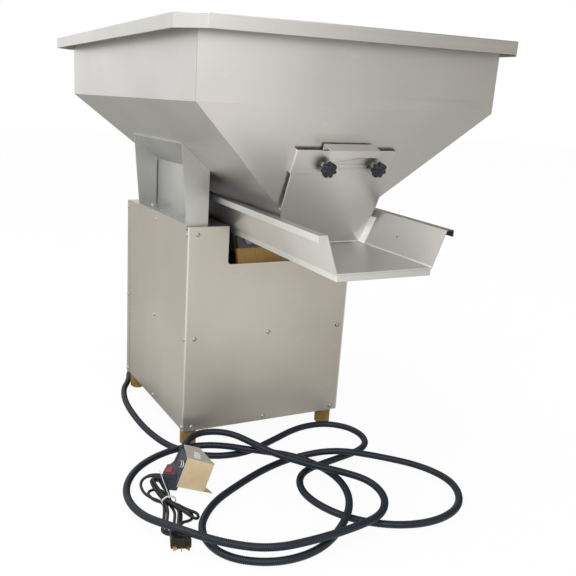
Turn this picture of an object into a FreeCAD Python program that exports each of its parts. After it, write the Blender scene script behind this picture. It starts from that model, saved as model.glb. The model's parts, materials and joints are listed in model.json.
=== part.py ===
import FreeCAD, Part
import math
import os

# Vibrating feeder: a steel hopper over a sprung, magnet-driven trough on a screwed cabinet,
# with a conduit to a small floor-standing switch box and speed control.
# Millimetres, +Z up, discharge towards -Y, floor at z = 0, origin under the middle of the body.

V = FreeCAD.Vector

# Clearance between pieces that pass or seat
CLEAR = 0.3

# Cabinet
CAB_W = 350.0
CAB_D = 356.0
CAB_H = 399.0
PANEL = 1.5
PANEL_RETURN = 16.0
FRAME_T = 3.0
POST = 25.0
FLANGE = 18.0
NOTCH_CLEAR = 9.35
NOTCH_DEPTH = 71.5
NOTCH_R = 6.0
RAIL_UP = 187.0
RAIL_H = 20.0
SCREW_D = 4.0
SCREW_HEAD_D = 8.4
SCREW_HEAD_H = 2.4
SCREW_L = 6.0
SCREW_EDGE_X = 19.0
SCREW_EDGE_RETURN = 7.0
SCREW_EDGE_Z = 8.0
SCREW_TOP_Z = 14.0

# Feet
FOOT_D = 32.0
FOOT_H = 35.0
FOOT_INSET = 20.0
FOOT_EASE = 3.0
FOOT_BOLT_D = 8.0
FOOT_BOLT_L = 18.0

# Hopper
SHEET = 2.0
TOTAL_H = 764.0
RIM_W = 606.0
RIM_L = 762.0
RIM_H = 20.0
RIM_OUT = 36.0
RIM_OVERHANG = 134.5
RIM_CHAMFER = 36.0
RIM_BEND = 1.6
WALL_H = 112.0
THROAT_W = 142.5
THROAT_H = 12.0
THROAT_GAP = 42.0
THROAT_AHEAD = 153.6
THROAT_INSET = 72.6
OUTLET_H = 26.0

# Hopper brackets on the deck
BRACKET_T = 3.0
BRACKET_FRONT = 12.0
BRACKET_L = 269.0
BRACKET_CLEAR = 11.7
BRACKET_EDGE = 1.0
BRACKET_FLANGE = 55.0
BRACKET_BOLT_INSET = 40.0
BRACKET_HOLE_INSET = 101.0
BRACKET_HOLE_SHIFT = 8.0
BOLT_D = 8.0
BOLT_AF = 13.0
BOLT_HEAD = 5.3

# Slide gate on the front slope
GATE_ABOVE = 79.8
GATE_SHIFT = 4.0
GATE_LEAN = 2.5
GATE_SIDE = 0.5
BAR_H = 40.7
BAR_GAP = 6.5
BAR_BEND = 2.5
GATE_GAP = 4.2
GATE_TAPER = 11.95
GATE_KNEE = 66.0
GATE_EDGE = 0.6
GATE_TOP = 6.0
GATE_FLOOR_GAP = 4.3
HANDLE_W = 93.0
HANDLE_TOP = 27.2
HANDLE_REACH = 21.6
HANDLE_LIP = 9.5
KNOB_X = 47.0
KNOB_SHIFT = 11.0
KNOB_DROP = 6.0
KNOB_D = 26.0
KNOB_H = 11.0
KNOB_LOBES = 7
KNOB_LOBE_D = 7.0
KNOB_EASE = 1.0
KNOB_STAND = 8.5
KNOB_HUB_D = 14.0
KNOB_HUB_H = 3.0
STUD_D = 6.0
STUD_IN = 8.0
NUT_AF = 10.0
NUT_H = 5.0

# Trough
TROUGH_REACH = 343.5
TROUGH_TAIL = 29.9
TROUGH_SINK = 10.3
TROUGH_TILT = 1.2
TROUGH_SIDE = 13.4
TROUGH_SPREAD = 20.9
TROUGH_WALL = 56.7
TROUGH_BEND = 4.0
LIP_W = 14.8
LIP_D = 10.0
SLOT_CLEAR = 12.0
REAR_WALL_DROP = 10.0
PAN_SKIRT = 10.0

# Magnetic drive
SPRING_LEAN = 20.0
SPRING_SET = 35.3
SPRING_PITCH = 178.0
LEAF_T = 3.0
LEAF_GAP = 2.0
BASE_W = 110.0
BASE_T = 50.0
SPRING_FREE = 47.0
LUG_GAP = 27.0
FRONT_LUG = 26.0
REAR_LUG = 38.0
TRAY_LUG_H = 47.7
TRAY_WEB = 18.0
ARM_T = 12.0
ARM_H = 119.7
ARM_CLEAR = 15.0
ARMATURE_T = 10.0
AIR_GAP = 3.0
CORE_D = 45.0
CORE_W = 60.0
CORE_H = 46.0
CORE_YOKE = 14.0
CORE_LIMB = 20.0
CORE_SIDE = 12.0
CORE_UP = 30.0
COIL_T = 7.0
CLAMP_T = 8.0
CLAMP_H = 24.0
CLAMP_BOLT_X = 34.0
CLAMP_SET = 18.0
LEAF_FOOT = 36.0
ISOLATOR_D = 40.0
ISOLATOR_H = 35.0
ISOLATOR_X = 34.0
ISOLATOR_INSET = 30.0
PILLAR_D = 34.0

# Conduit and its glands
HOSE_D = 13.0
GLAND_D = 21.0
GLAND_L = 16.0
GLAND_NUT = 6.0
GLAND_THREAD_D = 15.0
REAR_GLAND_X = 40.0
REAR_GLAND_Z = 70.0

# Speed control in its steel bracket, which leans on the switch box
CONTROL_AT = V(-203.0, -247.0, 5.6)
CONTROL_YAW = -6.5
CONTROL_ROLL = 19.1
CONTROL_W = 51.0
CONTROL_H = 54.0
CONTROL_TOP_D = 58.0
CONTROL_TAPER = 10.0
CONTROL_FOOT_D = 26.0
CONTROL_FOOT_W = 38.0
CONTROL_EAR = 16.0
CONTROL_T = 1.5
CONTROL_HOLE_D = 5.0
BODY_D = 40.0
BODY_SIDE = 3.0
BODY_PROP = 38.7
DIAL_D = 13.0
DIAL_H = 9.0
DIAL_Y = 9.0
DIAL_Z = 38.0
SPINDLE_D = 3.0
SPINDLE_L = 5.0
POINTER_W = 1.2

# Switch box on the floor
BOX_AT = V(-263.0, -203.0, 0.0)
BOX_YAW = -35.9
BOX_W = 26.0
BOX_D = 34.0
BOX_H = 31.0
BOX_R = 3.0
BOX_LID = 10.0
BOX_SEAM = 1.0
BOX_GLAND_D = 18.0
BOX_GLAND_AT = (10.5, 22.0)
ROCKER_W = 10.0
ROCKER_L = 14.0
ROCKER_H = 7.0
ROCKER_AT = (9.0, 12.0)
ROCKER_TILT = 8.0
ROCKER_PIN_D = 2.0
ROCKER_PIN_L = 1.5
ROCKER_SINK = 2.0
ROCKER_RISE = 2.0
ROCKER_SWING = 1.2

# Mains lead, its hank and plug
LEAD_D = 5.0
LEAD_GLAND_D = 9.0
LEAD_GLAND_L = 9.0
LEAD_GLAND_Z = 15.0
HANK_AXIS = [(-279.0, -197.0), (-280.0, -204.0), (-279.0, -226.0), (-271.0, -258.0), (-286.0, -296.0),
             (-301.0, -328.0), (-306.0, -342.0)]
HANK_W = [12.0, 28.0, 33.0, 21.0, 30.0, 30.0, 14.0]
HANK_H = [7.0, 14.0, 17.0, 14.0, 14.0, 12.0, 7.0]
TIE_T = 1.2
TIE_W = 2.6
TIE_SLACK = 0.8
PLUG_AT = V(-288.8, -354.2, 9.5)
PLUG_YAW = -18.0
PLUG_L = 27.0
PLUG_W = 32.0
PLUG_H = 18.0
PLUG_NECK_D = 10.0
PLUG_NECK_L = 9.0
PLUG_R = 4.0
PIN_L = 16.0
PIN_W = 6.3
PIN_T = 1.6
PIN_PITCH = 9.5

# The conduit's route, rear gland to switch box, and the mains lead's two free ends
CONDUIT_ROUTE = [
    (40, 298.5, 70), (40, 344, 70), (15, 400, 45), (-48, 424, 16), (-112, 394, 7), (-152, 338, 7),
    (-171, 281, 7), (-197, 238, 7), (-215, 169, 7), (-220, 87, 7), (-217, 5, 7), (-199, -75, 7),
    (-147, -135, 7), (-71, -145, 7), (6, -112, 7), (78, -79, 7), (139, -77, 7), (178, -104, 7),
    (191, -146, 7), (177, -188, 7), (140, -212, 7), (72, -226, 7), (-11, -244, 7), (-48, -309, 7),
    (-29, -391, 7), (31, -449, 7), (112, -470, 7), (191, -446, 7), (237, -378, 7), (222, -306, 7),
    (155, -261, 17), (80, -222, 26), (11, -194, 10), (-62, -210, 7), (-137, -247, 7), (-209, -290, 7),
    (-259, -355, 7), (-252, -431, 7), (-184, -474, 7), (-99, -469, 8), (-29, -428, 24), (20, -359, 20),
    (35, -283, 17), (-5, -221, 27), (-66, -164, 22), (-129, -115, 22), (-206, -105, 21), (-286, -134, 14),
    (-332, -197, 7), (-336, -289, 15), (-300, -366, 29), (-251, -423, 27), (-188, -462, 25),
    (-107, -467, 27), (-25, -457, 26), (29, -440, 24), (63, -402, 27), (65, -355, 32), (36, -315, 34),
    (-8, -272, 35), (-49, -216, 36), (-72, -160, 38), (-89, -124, 40), (-116, -104, 41.5), (-152, -99, 42),
    (-184, -119, 42), (-209.31, -146.74, 22), (-225.14, -168.61, 22)]
LEAD_ROUTE = [(-260.36, -183.92, 15), (-274, -174, 15), (-289, -171, 10), (-301, -180, 5),
              (-305, -196, 3), (-303, -215, 3), (-296, -233, 4), (-283, -247, 5)]
TAIL_ROUTE = [(-262, -266, 5), (-252, -280, 4), (-246, -296, 3), (-249, -312, 4), (-261, -322, 7),
              (-274.5, -326.5, 9.5), (-282.3, -334.2, 9.5), (-286.02, -345.64, 9.5)]

# Worked-out places
MIDDLE = (CAB_D + RIM_OVERHANG - TROUGH_REACH) / 2
CAB_FRONT_Y = -MIDDLE
CAB_BACK_Y = CAB_FRONT_Y + CAB_D
TROUGH_FRONT_Y = CAB_FRONT_Y - TROUGH_REACH
RIM_BACK_Y = CAB_BACK_Y + RIM_OVERHANG
RIM_FRONT_Y = RIM_BACK_Y - RIM_L
CAB_TOP = FOOT_H + CAB_H
RAIL_Z = FOOT_H + RAIL_UP
FRAME_X = CAB_W / 2 - 2 * PANEL
FRAME_FRONT = CAB_FRONT_Y + PANEL
FRAME_BACK = CAB_BACK_Y - PANEL
DECK_Z = CAB_TOP - FRAME_T
FLOOR_Z = FOOT_H + FRAME_T
TROUGH_FLOOR = CAB_TOP - TROUGH_SINK
TROUGH_TOP = TROUGH_FLOOR + TROUGH_WALL
TROUGH_FLOOR_W = THROAT_W + 2 * TROUGH_SIDE
TROUGH_TOP_W = TROUGH_FLOOR_W + 2 * TROUGH_SPREAD
NOTCH_W = TROUGH_FLOOR_W + 2 * NOTCH_CLEAR
PAN_TOP = TROUGH_FLOOR - SHEET
HOPPER_TOP = TOTAL_H
WALL_X = RIM_W / 2 - RIM_OUT
WALL_FRONT = RIM_FRONT_Y + RIM_OUT
WALL_BACK = RIM_BACK_Y - RIM_OUT
FOLD_Z = HOPPER_TOP - WALL_H
FOLD_RISE = 0.4 * SHEET
THROAT_BOTTOM = TROUGH_FLOOR + THROAT_GAP
THROAT_TOP = THROAT_BOTTOM + THROAT_H
OUTLET_TOP = THROAT_BOTTOM + OUTLET_H
THROAT_FRONT_Y = CAB_FRONT_Y - THROAT_AHEAD
THROAT_BACK_Y = CAB_BACK_Y - THROAT_INSET
TROUGH_BACK_Y = THROAT_BACK_Y + TROUGH_TAIL
SIDE_RUN = (WALL_X - THROAT_W / 2) / (FOLD_Z - THROAT_TOP)
FRONT_RUN = (THROAT_FRONT_Y - WALL_FRONT) / (FOLD_Z - THROAT_BOTTOM)
REAR_RUN = (WALL_BACK - THROAT_BACK_Y) / (FOLD_Z - THROAT_BOTTOM)
BRACKET_IN = TROUGH_TOP_W / 2 + LIP_W + BRACKET_CLEAR
BRACKET_OUT = CAB_W / 2 - BRACKET_EDGE
BRACKET_BOLT_X = (BRACKET_IN + BRACKET_T + BRACKET_OUT) / 2
BRACKET_FRONT_Y = CAB_FRONT_Y + BRACKET_FRONT
GATE_Z = OUTLET_TOP + GATE_ABOVE
GATE_FOOT_W = TROUGH_FLOOR_W - 2 * (GATE_SHIFT + GATE_EDGE)
GATE_TOP_W = GATE_FOOT_W + 2 * GATE_TAPER
BAR_W = GATE_TOP_W + 2 * (GATE_SIDE + SHEET)
LEAN = math.radians(SPRING_LEAN)
PACK_T = 2 * LEAF_T + LEAF_GAP
SPRING_W = BASE_W
GATE_SLOPE = math.degrees(math.atan(FRONT_RUN)) - GATE_LEAN
BAR_FACE = BAR_GAP + SHEET
GATE_FACE = GATE_GAP + SHEET
TRAY_TOP = PAN_TOP - SHEET
TROUGH_RISE = (TROUGH_BACK_Y - TROUGH_FRONT_Y) * math.tan(math.radians(TROUGH_TILT))
TRAY_LUG_BOTTOM = TRAY_TOP - TRAY_LUG_H
ARM_BOTTOM = TRAY_TOP - ARM_H
BASE_FRONT_LUG_TOP = TRAY_LUG_BOTTOM - SPRING_FREE
BASE_REAR_LUG_TOP = TRAY_LUG_BOTTOM - LUG_GAP
BASE_FLOOR = ARM_BOTTOM - ARM_CLEAR
BASE_BOTTOM = BASE_FLOOR - BASE_T
CORE_Z = ARM_BOTTOM + CORE_UP
CORE_BACK = SPRING_PITCH - REAR_LUG
POLE = CORE_BACK - CORE_D
ARM_BACK = POLE - AIR_GAP - ARMATURE_T
BASE_CLAMP_Z = BASE_FRONT_LUG_TOP - CLAMP_SET
TRAY_CLAMP_Z = TRAY_LUG_BOTTOM + CLAMP_SET
TIE_AT = len(HANK_AXIS) // 2
ROLL = math.radians(CONTROL_ROLL)
BODY_LOW = (BOX_H + CLEAR - CONTROL_AT.z - BODY_PROP * math.sin(ROLL)) / math.cos(ROLL)


def box(x0, x1, y0, y1, z0, z1):
    return Part.makeBox(x1 - x0, y1 - y0, z1 - z0, V(x0, y0, z0))


def rod(start, direction, diameter, length):
    return Part.makeCylinder(diameter / 2, length, start, direction)


def prism(points, lift):
    """Solid from a closed outline of vectors, pushed along lift."""
    return Part.Face(Part.makePolygon(points + points[:1])).extrude(lift)


def prism_x(outline, x0, x1):
    return prism([V(x0, y, z) for y, z in outline], V(x1 - x0, 0, 0))


def prism_y(outline, y0, y1):
    return prism([V(x, y0, z) for x, z in outline], V(0, y1 - y0, 0))


def prism_z(outline, z0, z1):
    return prism([V(x, y, z0) for x, y in outline], V(0, 0, z1 - z0))


def turned(profile, place, direction):
    """Solid of revolution from (radius, height) points, its axis through place along direction."""
    points = [V(r, 0, h) for r, h in profile]
    face = Part.Face(Part.makePolygon(points + points[:1]))
    solid = face.revolve(V(0, 0, 0), V(0, 0, 1), 360)
    solid.Placement = FreeCAD.Placement(place, FreeCAD.Rotation(V(0, 0, 1), direction))
    return solid


def hexagon(across_flats, start, direction, length):
    """Hexagon prism about an axis, one corner to the side."""
    corner = across_flats / math.sqrt(3)
    turn = FreeCAD.Rotation(V(0, 0, 1), direction)
    points = []
    for k in range(6):
        angle = math.radians(60 * k)
        spot = V(corner * math.cos(angle), corner * math.sin(angle), 0)
        points.append(start + turn.multVec(spot))
    return prism(points, direction * length)


def folded(points, thickness):
    """Outline of a sheet folded along points, with its thickness on their left side."""
    count = len(points)
    normals = []
    for (ax, ay), (bx, by) in zip(points, points[1:]):
        run = math.hypot(bx - ax, by - ay)
        normals.append((-(by - ay) / run, (bx - ax) / run))
    offset = []
    for k, (px, py) in enumerate(points):
        n0 = normals[max(k - 1, 0)]
        n1 = normals[min(k, count - 2)]
        scale = thickness / (1 + n0[0] * n1[0] + n0[1] * n1[1])
        offset.append((px + (n0[0] + n1[0]) * scale, py + (n0[1] + n1[1]) * scale))
    return points + offset[::-1]


def hexahedron(outer, inner):
    """Solid between two matching four-cornered faces."""
    faces = [outer, inner[::-1]]
    for k in range(4):
        n = (k + 1) % 4
        faces.append([outer[k], inner[k], inner[n], outer[n]])
    shell = Part.Shell([Part.Face(Part.makePolygon(f + f[:1])) for f in faces])
    solid = Part.Solid(shell)
    if solid.Volume < 0:
        solid.reverse()
    return solid


def fused(shapes):
    return shapes[0].multiFuse(shapes[1:]).removeSplitter()


def mirrored(shape):
    return shape.mirror(V(0, 0, 0), V(1, 0, 0))


def rounded(shape, radius, test):
    """Fillets the edges whose ends and middle all pass the test."""
    picked = []
    for edge in shape.Edges:
        middle = edge.valueAt((edge.FirstParameter + edge.LastParameter) / 2)
        if all(test(p) for p in [v.Point for v in edge.Vertexes] + [middle]):
            picked.append(edge)
    return shape.makeFillet(radius, picked)


def near(a, b):
    return abs(a - b) < 1e-4


def drilled(shape, holes):
    return shape.cut(Part.makeCompound(holes)) if holes else shape


def save(name, shape):
    shape.exportStep("parts/" + name + ".step")


# Screw places: a point on the panel's outer face and the direction into the cabinet


def panel_screw_places():
    places = []
    rows = [FOOT_H + SCREW_EDGE_Z, RAIL_Z, CAB_TOP - SCREW_TOP_Z]
    edge_x = CAB_W / 2 - SCREW_EDGE_X
    middle_y = (CAB_FRONT_Y + CAB_BACK_Y) / 2
    for y, inward in [(CAB_FRONT_Y, V(0, 1, 0)), (CAB_BACK_Y, V(0, -1, 0))]:
        for x in (-edge_x, 0.0, edge_x):
            for z in rows:
                if x or z < rows[2]:
                    places.append((V(x, y, z), inward))
    for side in (-1, 1):
        face = side * CAB_W / 2
        for z in rows:
            places.append((V(side * (CAB_W / 2 - PANEL), middle_y, z), V(-side, 0, 0)))
            for y in (CAB_FRONT_Y + SCREW_EDGE_RETURN, CAB_BACK_Y - SCREW_EDGE_RETURN):
                places.append((V(face, y, z), V(-side, 0, 0)))
    return places


SCREWS = panel_screw_places()
SCREW_HOLES = [rod(p, d, SCREW_D + CLEAR, SCREW_L + CLEAR) for p, d in SCREWS]


def panel_screws():
    head, shank, rim = SCREW_HEAD_D / 2, SCREW_D / 2, SCREW_HEAD_H / 3
    profile = [(0, -SCREW_L), (shank, -SCREW_L), (shank, 0), (head, 0), (head - rim, SCREW_HEAD_H),
               (0, SCREW_HEAD_H)]
    return Part.makeCompound([turned(profile, place, -inward) for place, inward in SCREWS])


# Cabinet


def bent_panel(face_y, inward):
    """Front or rear sheet with its two edges folded round the sides."""
    back = face_y + inward * PANEL_RETURN
    half = CAB_W / 2
    line = [(-half, back), (-half, face_y), (half, face_y), (half, back)]
    return prism_z(folded(line if inward > 0 else line[::-1], PANEL), FOOT_H, CAB_TOP)


def front_panel():
    low = CAB_TOP - NOTCH_DEPTH
    half = NOTCH_W / 2
    notch = box(-half, half, CAB_FRONT_Y - 1, FRAME_FRONT + 1, low, CAB_TOP + 1)
    notch = rounded(notch, NOTCH_R, lambda p: near(p.z, low) and near(abs(p.x), half))
    return drilled(bent_panel(CAB_FRONT_Y, 1).cut(notch), SCREW_HOLES)


def rear_panel():
    place = V(REAR_GLAND_X, CAB_BACK_Y + 1, REAR_GLAND_Z)
    hole = rod(place, V(0, -1, 0), GLAND_THREAD_D + CLEAR, PANEL + 2)
    return drilled(bent_panel(CAB_BACK_Y, -1), SCREW_HOLES + [hole])


def side_panel(side):
    outer = CAB_W / 2 - PANEL
    sheet = box(outer - PANEL, outer, FRAME_FRONT, FRAME_BACK, FOOT_H, CAB_TOP)
    return drilled(sheet if side > 0 else mirrored(sheet), SCREW_HOLES)


def flanges(z0, z1, gap_half_width):
    """Upright edges between the corner posts, open at the front across the gap."""
    end_x = FRAME_X - POST - CLEAR
    end_front = FRAME_FRONT + POST + CLEAR
    end_back = FRAME_BACK - POST - CLEAR
    edges = [box(-end_x, end_x, FRAME_BACK - FRAME_T, FRAME_BACK, z0, z1)]
    for side in (-1, 1):
        inner, outer = sorted((side * (FRAME_X - FRAME_T), side * FRAME_X))
        edges.append(box(inner, outer, end_front, end_back, z0, z1))
        x0, x1 = sorted((side * gap_half_width, side * end_x))
        edges.append(box(x0, x1, FRAME_FRONT, FRAME_FRONT + FRAME_T, z0, z1))
    return edges


def foot_places():
    places = {}
    for end, y in (("front", CAB_FRONT_Y + FOOT_INSET), ("rear", CAB_BACK_Y - FOOT_INSET)):
        for hand, side in (("left", -1), ("right", 1)):
            places["foot_" + end + "_" + hand] = (side * (CAB_W / 2 - FOOT_INSET), y)
    return places


def base_plate():
    plate = box(-FRAME_X, FRAME_X, FRAME_FRONT, FRAME_BACK, FOOT_H, FLOOR_Z)
    body = fused([plate] + flanges(FLOOR_Z, FOOT_H + FLANGE, 0.0))
    holes = [rod(V(x, y, FOOT_H - 1), V(0, 0, 1), FOOT_BOLT_D + CLEAR, FRAME_T + 2)
             for x, y in foot_places().values()]
    return drilled(body, holes + SCREW_HOLES)


def deck_plate():
    slot = NOTCH_W / 2
    under = CAB_TOP - FLANGE
    plate = box(-FRAME_X, FRAME_X, FRAME_FRONT, FRAME_BACK, DECK_Z, CAB_TOP)
    body = fused([plate] + flanges(under, DECK_Z, slot))
    opening = box(-slot, slot, FRAME_FRONT - 1, TROUGH_BACK_Y + SLOT_CLEAR, under - 1, CAB_TOP + 1)
    return drilled(body.cut(opening), SCREW_HOLES + [bolt_hole(p, FRAME_T) for p in bracket_bolt_places()])


def corner_post(side, end):
    x = side * FRAME_X
    y = FRAME_FRONT if end < 0 else FRAME_BACK
    a, b = -side * POST, -end * POST
    c, d = -side * FRAME_T, -end * FRAME_T
    outline = [(x, y), (x + a, y), (x + a, y + d), (x + c, y + d), (x + c, y + b), (x, y + b)]
    return drilled(prism_z(outline, FLOOR_Z, DECK_Z), SCREW_HOLES)


def mid_rails():
    z0, z1 = RAIL_Z - RAIL_H / 2, RAIL_Z + RAIL_H / 2
    end_x = FRAME_X - POST - CLEAR
    end_front, end_back = FRAME_FRONT + POST + CLEAR, FRAME_BACK - POST - CLEAR
    rails = [box(-end_x, end_x, FRAME_FRONT, FRAME_FRONT + FRAME_T, z0, z1),
             box(-end_x, end_x, FRAME_BACK - FRAME_T, FRAME_BACK, z0, z1),
             box(-FRAME_X, FRAME_T - FRAME_X, end_front, end_back, z0, z1),
             box(FRAME_X - FRAME_T, FRAME_X, end_front, end_back, z0, z1)]
    return Part.makeCompound([drilled(r, SCREW_HOLES) for r in rails])


def foot(x, y):
    out, bore = FOOT_D / 2, (FOOT_BOLT_D + CLEAR) / 2
    seat = FOOT_H - FOOT_BOLT_L
    profile = [(0, 0), (out - FOOT_EASE, 0), (out, FOOT_EASE), (out, FOOT_H), (bore, FOOT_H), (bore, seat),
               (0, seat)]
    return turned(profile, V(x, y, 0), V(0, 0, 1))


def foot_bolts():
    bolts = []
    for x, y in foot_places().values():
        shank = rod(V(x, y, FOOT_H - FOOT_BOLT_L), V(0, 0, 1), FOOT_BOLT_D, FOOT_BOLT_L + FRAME_T)
        bolts.append(shank.fuse(hexagon(BOLT_AF, V(x, y, FLOOR_Z), V(0, 0, 1), BOLT_HEAD)))
    return Part.makeCompound(bolts)


# Hopper


def chamfered(half_x, y0, y1, cut):
    return [(-half_x + cut, y0), (half_x - cut, y0), (half_x, y0 + cut), (half_x, y1 - cut),
            (half_x - cut, y1), (-half_x + cut, y1), (-half_x, y1 - cut), (-half_x, y0 + cut)]


def hopper_rim():
    low = HOPPER_TOP - RIM_H
    inner_cut = RIM_CHAMFER - (2 - math.sqrt(2)) * SHEET
    body = prism_z(chamfered(RIM_W / 2, RIM_FRONT_Y, RIM_BACK_Y, RIM_CHAMFER), low, HOPPER_TOP)
    body = rounded(body, RIM_BEND, lambda p: near(p.z, HOPPER_TOP))
    hollow = chamfered(RIM_W / 2 - SHEET, RIM_FRONT_Y + SHEET, RIM_BACK_Y - SHEET, inner_cut)
    mouth_x = WALL_X - SHEET
    mouth = box(-mouth_x, mouth_x, WALL_FRONT + SHEET, WALL_BACK - SHEET, low - 1, HOPPER_TOP + 1)
    return body.cut(prism_z(hollow, low - 1, HOPPER_TOP - SHEET)).cut(mouth)


def outer_ring(z):
    """Half width, front and back of the hopper's outside at a height."""
    fall = max(0.0, FOLD_Z - z)
    side_fall = min(fall, FOLD_Z - THROAT_TOP)
    return WALL_X - SIDE_RUN * side_fall, WALL_FRONT + FRONT_RUN * fall, WALL_BACK - REAR_RUN * fall


def inner_ring(z):
    """The same for the inside, whose folds lie a little higher."""
    x, front, back = outer_ring(z - FOLD_RISE)
    return x - SHEET, front + SHEET, back - SHEET


def sheet_band(side, high, low):
    """One flat of a hopper sheet between two heights, each given as outside and inside."""
    corners = []
    for ring, level in ((outer_ring, 0), (inner_ring, 1)):
        quad = []
        for z in (high[level], low[level]):
            x, front, back = ring(z)
            ends = {"front": [(-x, front), (x, front)], "rear": [(x, back), (-x, back)],
                    "left": [(-x, back), (-x, front)], "right": [(x, front), (x, back)]}[side]
            quad.append([V(px, py, z) for px, py in ends])
        corners.append(quad[0] + quad[1][::-1])
    return hexahedron(corners[0], corners[1])


def hopper_sheet(side):
    top = HOPPER_TOP - SHEET
    fold = (FOLD_Z, FOLD_Z + FOLD_RISE)
    throat = (THROAT_TOP, THROAT_TOP + FOLD_RISE)
    foot_level = (THROAT_BOTTOM, THROAT_BOTTOM)
    levels = [(top, top), fold, throat, foot_level]
    if side == "front":
        levels = [(top, top), fold, (OUTLET_TOP, OUTLET_TOP)]
    return fused([sheet_band(side, a, b) for a, b in zip(levels, levels[1:])])


# Hopper brackets


def bracket_bolt_places():
    rows = (BRACKET_BOLT_INSET, BRACKET_L - BRACKET_BOLT_INSET)
    return [V(side * BRACKET_BOLT_X, BRACKET_FRONT_Y + y, CAB_TOP) for side in (-1, 1) for y in rows]


def bracket_spare_places():
    rows = (BRACKET_HOLE_INSET, BRACKET_L - BRACKET_HOLE_INSET)
    out = BRACKET_BOLT_X + BRACKET_HOLE_SHIFT
    return [V(side * out, BRACKET_FRONT_Y + y, CAB_TOP) for side in (-1, 1) for y in rows]


def bolt_hole(place, thickness):
    return rod(place - V(0, 0, thickness + 1), V(0, 0, 1), BOLT_D + CLEAR, 2 * thickness + 2)


def bracket_left():
    """Folded channel with closed ends: foot on the deck, web, and top flange under the hopper's slope."""
    back = BRACKET_FRONT_Y + BRACKET_L
    web_top = FOLD_Z - (WALL_X - BRACKET_IN) / SIDE_RUN
    tip = web_top + BRACKET_FLANGE / SIDE_RUN
    line = [(-BRACKET_OUT, CAB_TOP), (-BRACKET_IN, CAB_TOP), (-BRACKET_IN, web_top),
            (-BRACKET_IN - BRACKET_FLANGE, tip)]
    ends = [prism_y(line, y, y + BRACKET_T) for y in (BRACKET_FRONT_Y, back - BRACKET_T)]
    body = fused([prism_y(folded(line, BRACKET_T), BRACKET_FRONT_Y, back)] + ends)
    places = bracket_bolt_places() + bracket_spare_places()
    return drilled(body, [bolt_hole(p, BRACKET_T) for p in places])


def bracket_bolts():
    bolts = []
    for place in bracket_bolt_places():
        seat = place + V(0, 0, BRACKET_T)
        under = place - V(0, 0, FRAME_T + BOLT_HEAD)
        shank = rod(under, V(0, 0, 1), BOLT_D, BOLT_HEAD + FRAME_T + BRACKET_T)
        head = hexagon(BOLT_AF, seat, V(0, 0, 1), BOLT_HEAD)
        nut = hexagon(BOLT_AF, under, V(0, 0, 1), BOLT_HEAD)
        bolts.append(fused([shank, head, nut]))
    return Part.makeCompound(bolts)


# Slide gate, drawn flat with x across, y up the gate and z out of it


def on_slope(shape):
    shape = shape.copy()
    shape.rotate(V(0, 0, 0), V(1, 0, 0), 90 + GATE_SLOPE)
    shape.translate(V(GATE_SHIFT, outer_ring(GATE_Z)[1], GATE_Z))
    return shape


def knob_spot(side):
    return V(KNOB_SHIFT + side * KNOB_X, -KNOB_DROP, 0)


def gate_bar():
    """Channel welded to the slope, its two legs cut to meet it."""
    line = [(-BAR_W / 2, -SHEET), (-BAR_W / 2, BAR_FACE), (BAR_W / 2, BAR_FACE), (BAR_W / 2, -SHEET)]
    outline = folded(line[::-1], SHEET)
    body = prism([V(x, -BAR_H / 2, z) for x, z in outline], V(0, BAR_H, 0))
    body = rounded(body, BAR_BEND, lambda p: near(p.z, BAR_FACE) and near(abs(p.x), BAR_W / 2))
    holes = [rod(knob_spot(side), V(0, 0, 1), STUD_D + 2 * CLEAR, BAR_FACE + 1) for side in (-1, 1)]
    drop = BAR_H * math.tan(math.radians(GATE_LEAN))
    slope = prism_x([(-BAR_H, -drop), (BAR_H, drop), (BAR_H, -BAR_H), (-BAR_H, -BAR_H)], -BAR_W, BAR_W)
    return on_slope(drilled(body, holes).cut(slope))


def gate_nuts():
    nuts = []
    for side in (-1, 1):
        place = knob_spot(side) + V(0, 0, BAR_FACE)
        bore = rod(place, V(0, 0, 1), STUD_D + 2 * CLEAR, NUT_H)
        nuts.append(hexagon(NUT_AF, place, V(0, 0, 1), NUT_H).cut(bore))
    return on_slope(Part.makeCompound(nuts))


def gate_plate():
    """Plate with a narrower foot, and a tab that is hooked over the bar as a handle."""
    ahead = (THROAT_FRONT_Y - TROUGH_FRONT_Y) / (TROUGH_BACK_Y - TROUGH_FRONT_Y)
    floor = TROUGH_FLOOR + TROUGH_RISE * ahead
    foot_y = -(GATE_Z - floor - GATE_FLOOR_GAP) / math.cos(math.radians(GATE_SLOPE))
    knee = foot_y + GATE_KNEE
    half_top, half_foot, half_tab = GATE_TOP_W / 2, GATE_FOOT_W / 2, HANDLE_W / 2
    right = [(half_foot, foot_y), (half_top, knee), (half_top, GATE_TOP), (half_tab, GATE_TOP),
             (half_tab, HANDLE_TOP)]
    outline = right + [(-x, y) for x, y in right[::-1]]
    plate = prism_z(outline, GATE_GAP, GATE_FACE)
    tip = GATE_GAP + HANDLE_REACH
    hook = [(HANDLE_TOP, GATE_GAP), (HANDLE_TOP, tip), (HANDLE_TOP - HANDLE_LIP, tip)]
    handle = prism([V(-half_tab, y, z) for y, z in folded(hook[::-1], SHEET)], V(HANDLE_W, 0, 0))
    body = fused([plate, handle])
    bends = (GATE_GAP, tip)
    body = rounded(body, SHEET, lambda p: near(p.y, HANDLE_TOP) and any(near(p.z, z) for z in bends))
    return on_slope(body)


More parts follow.
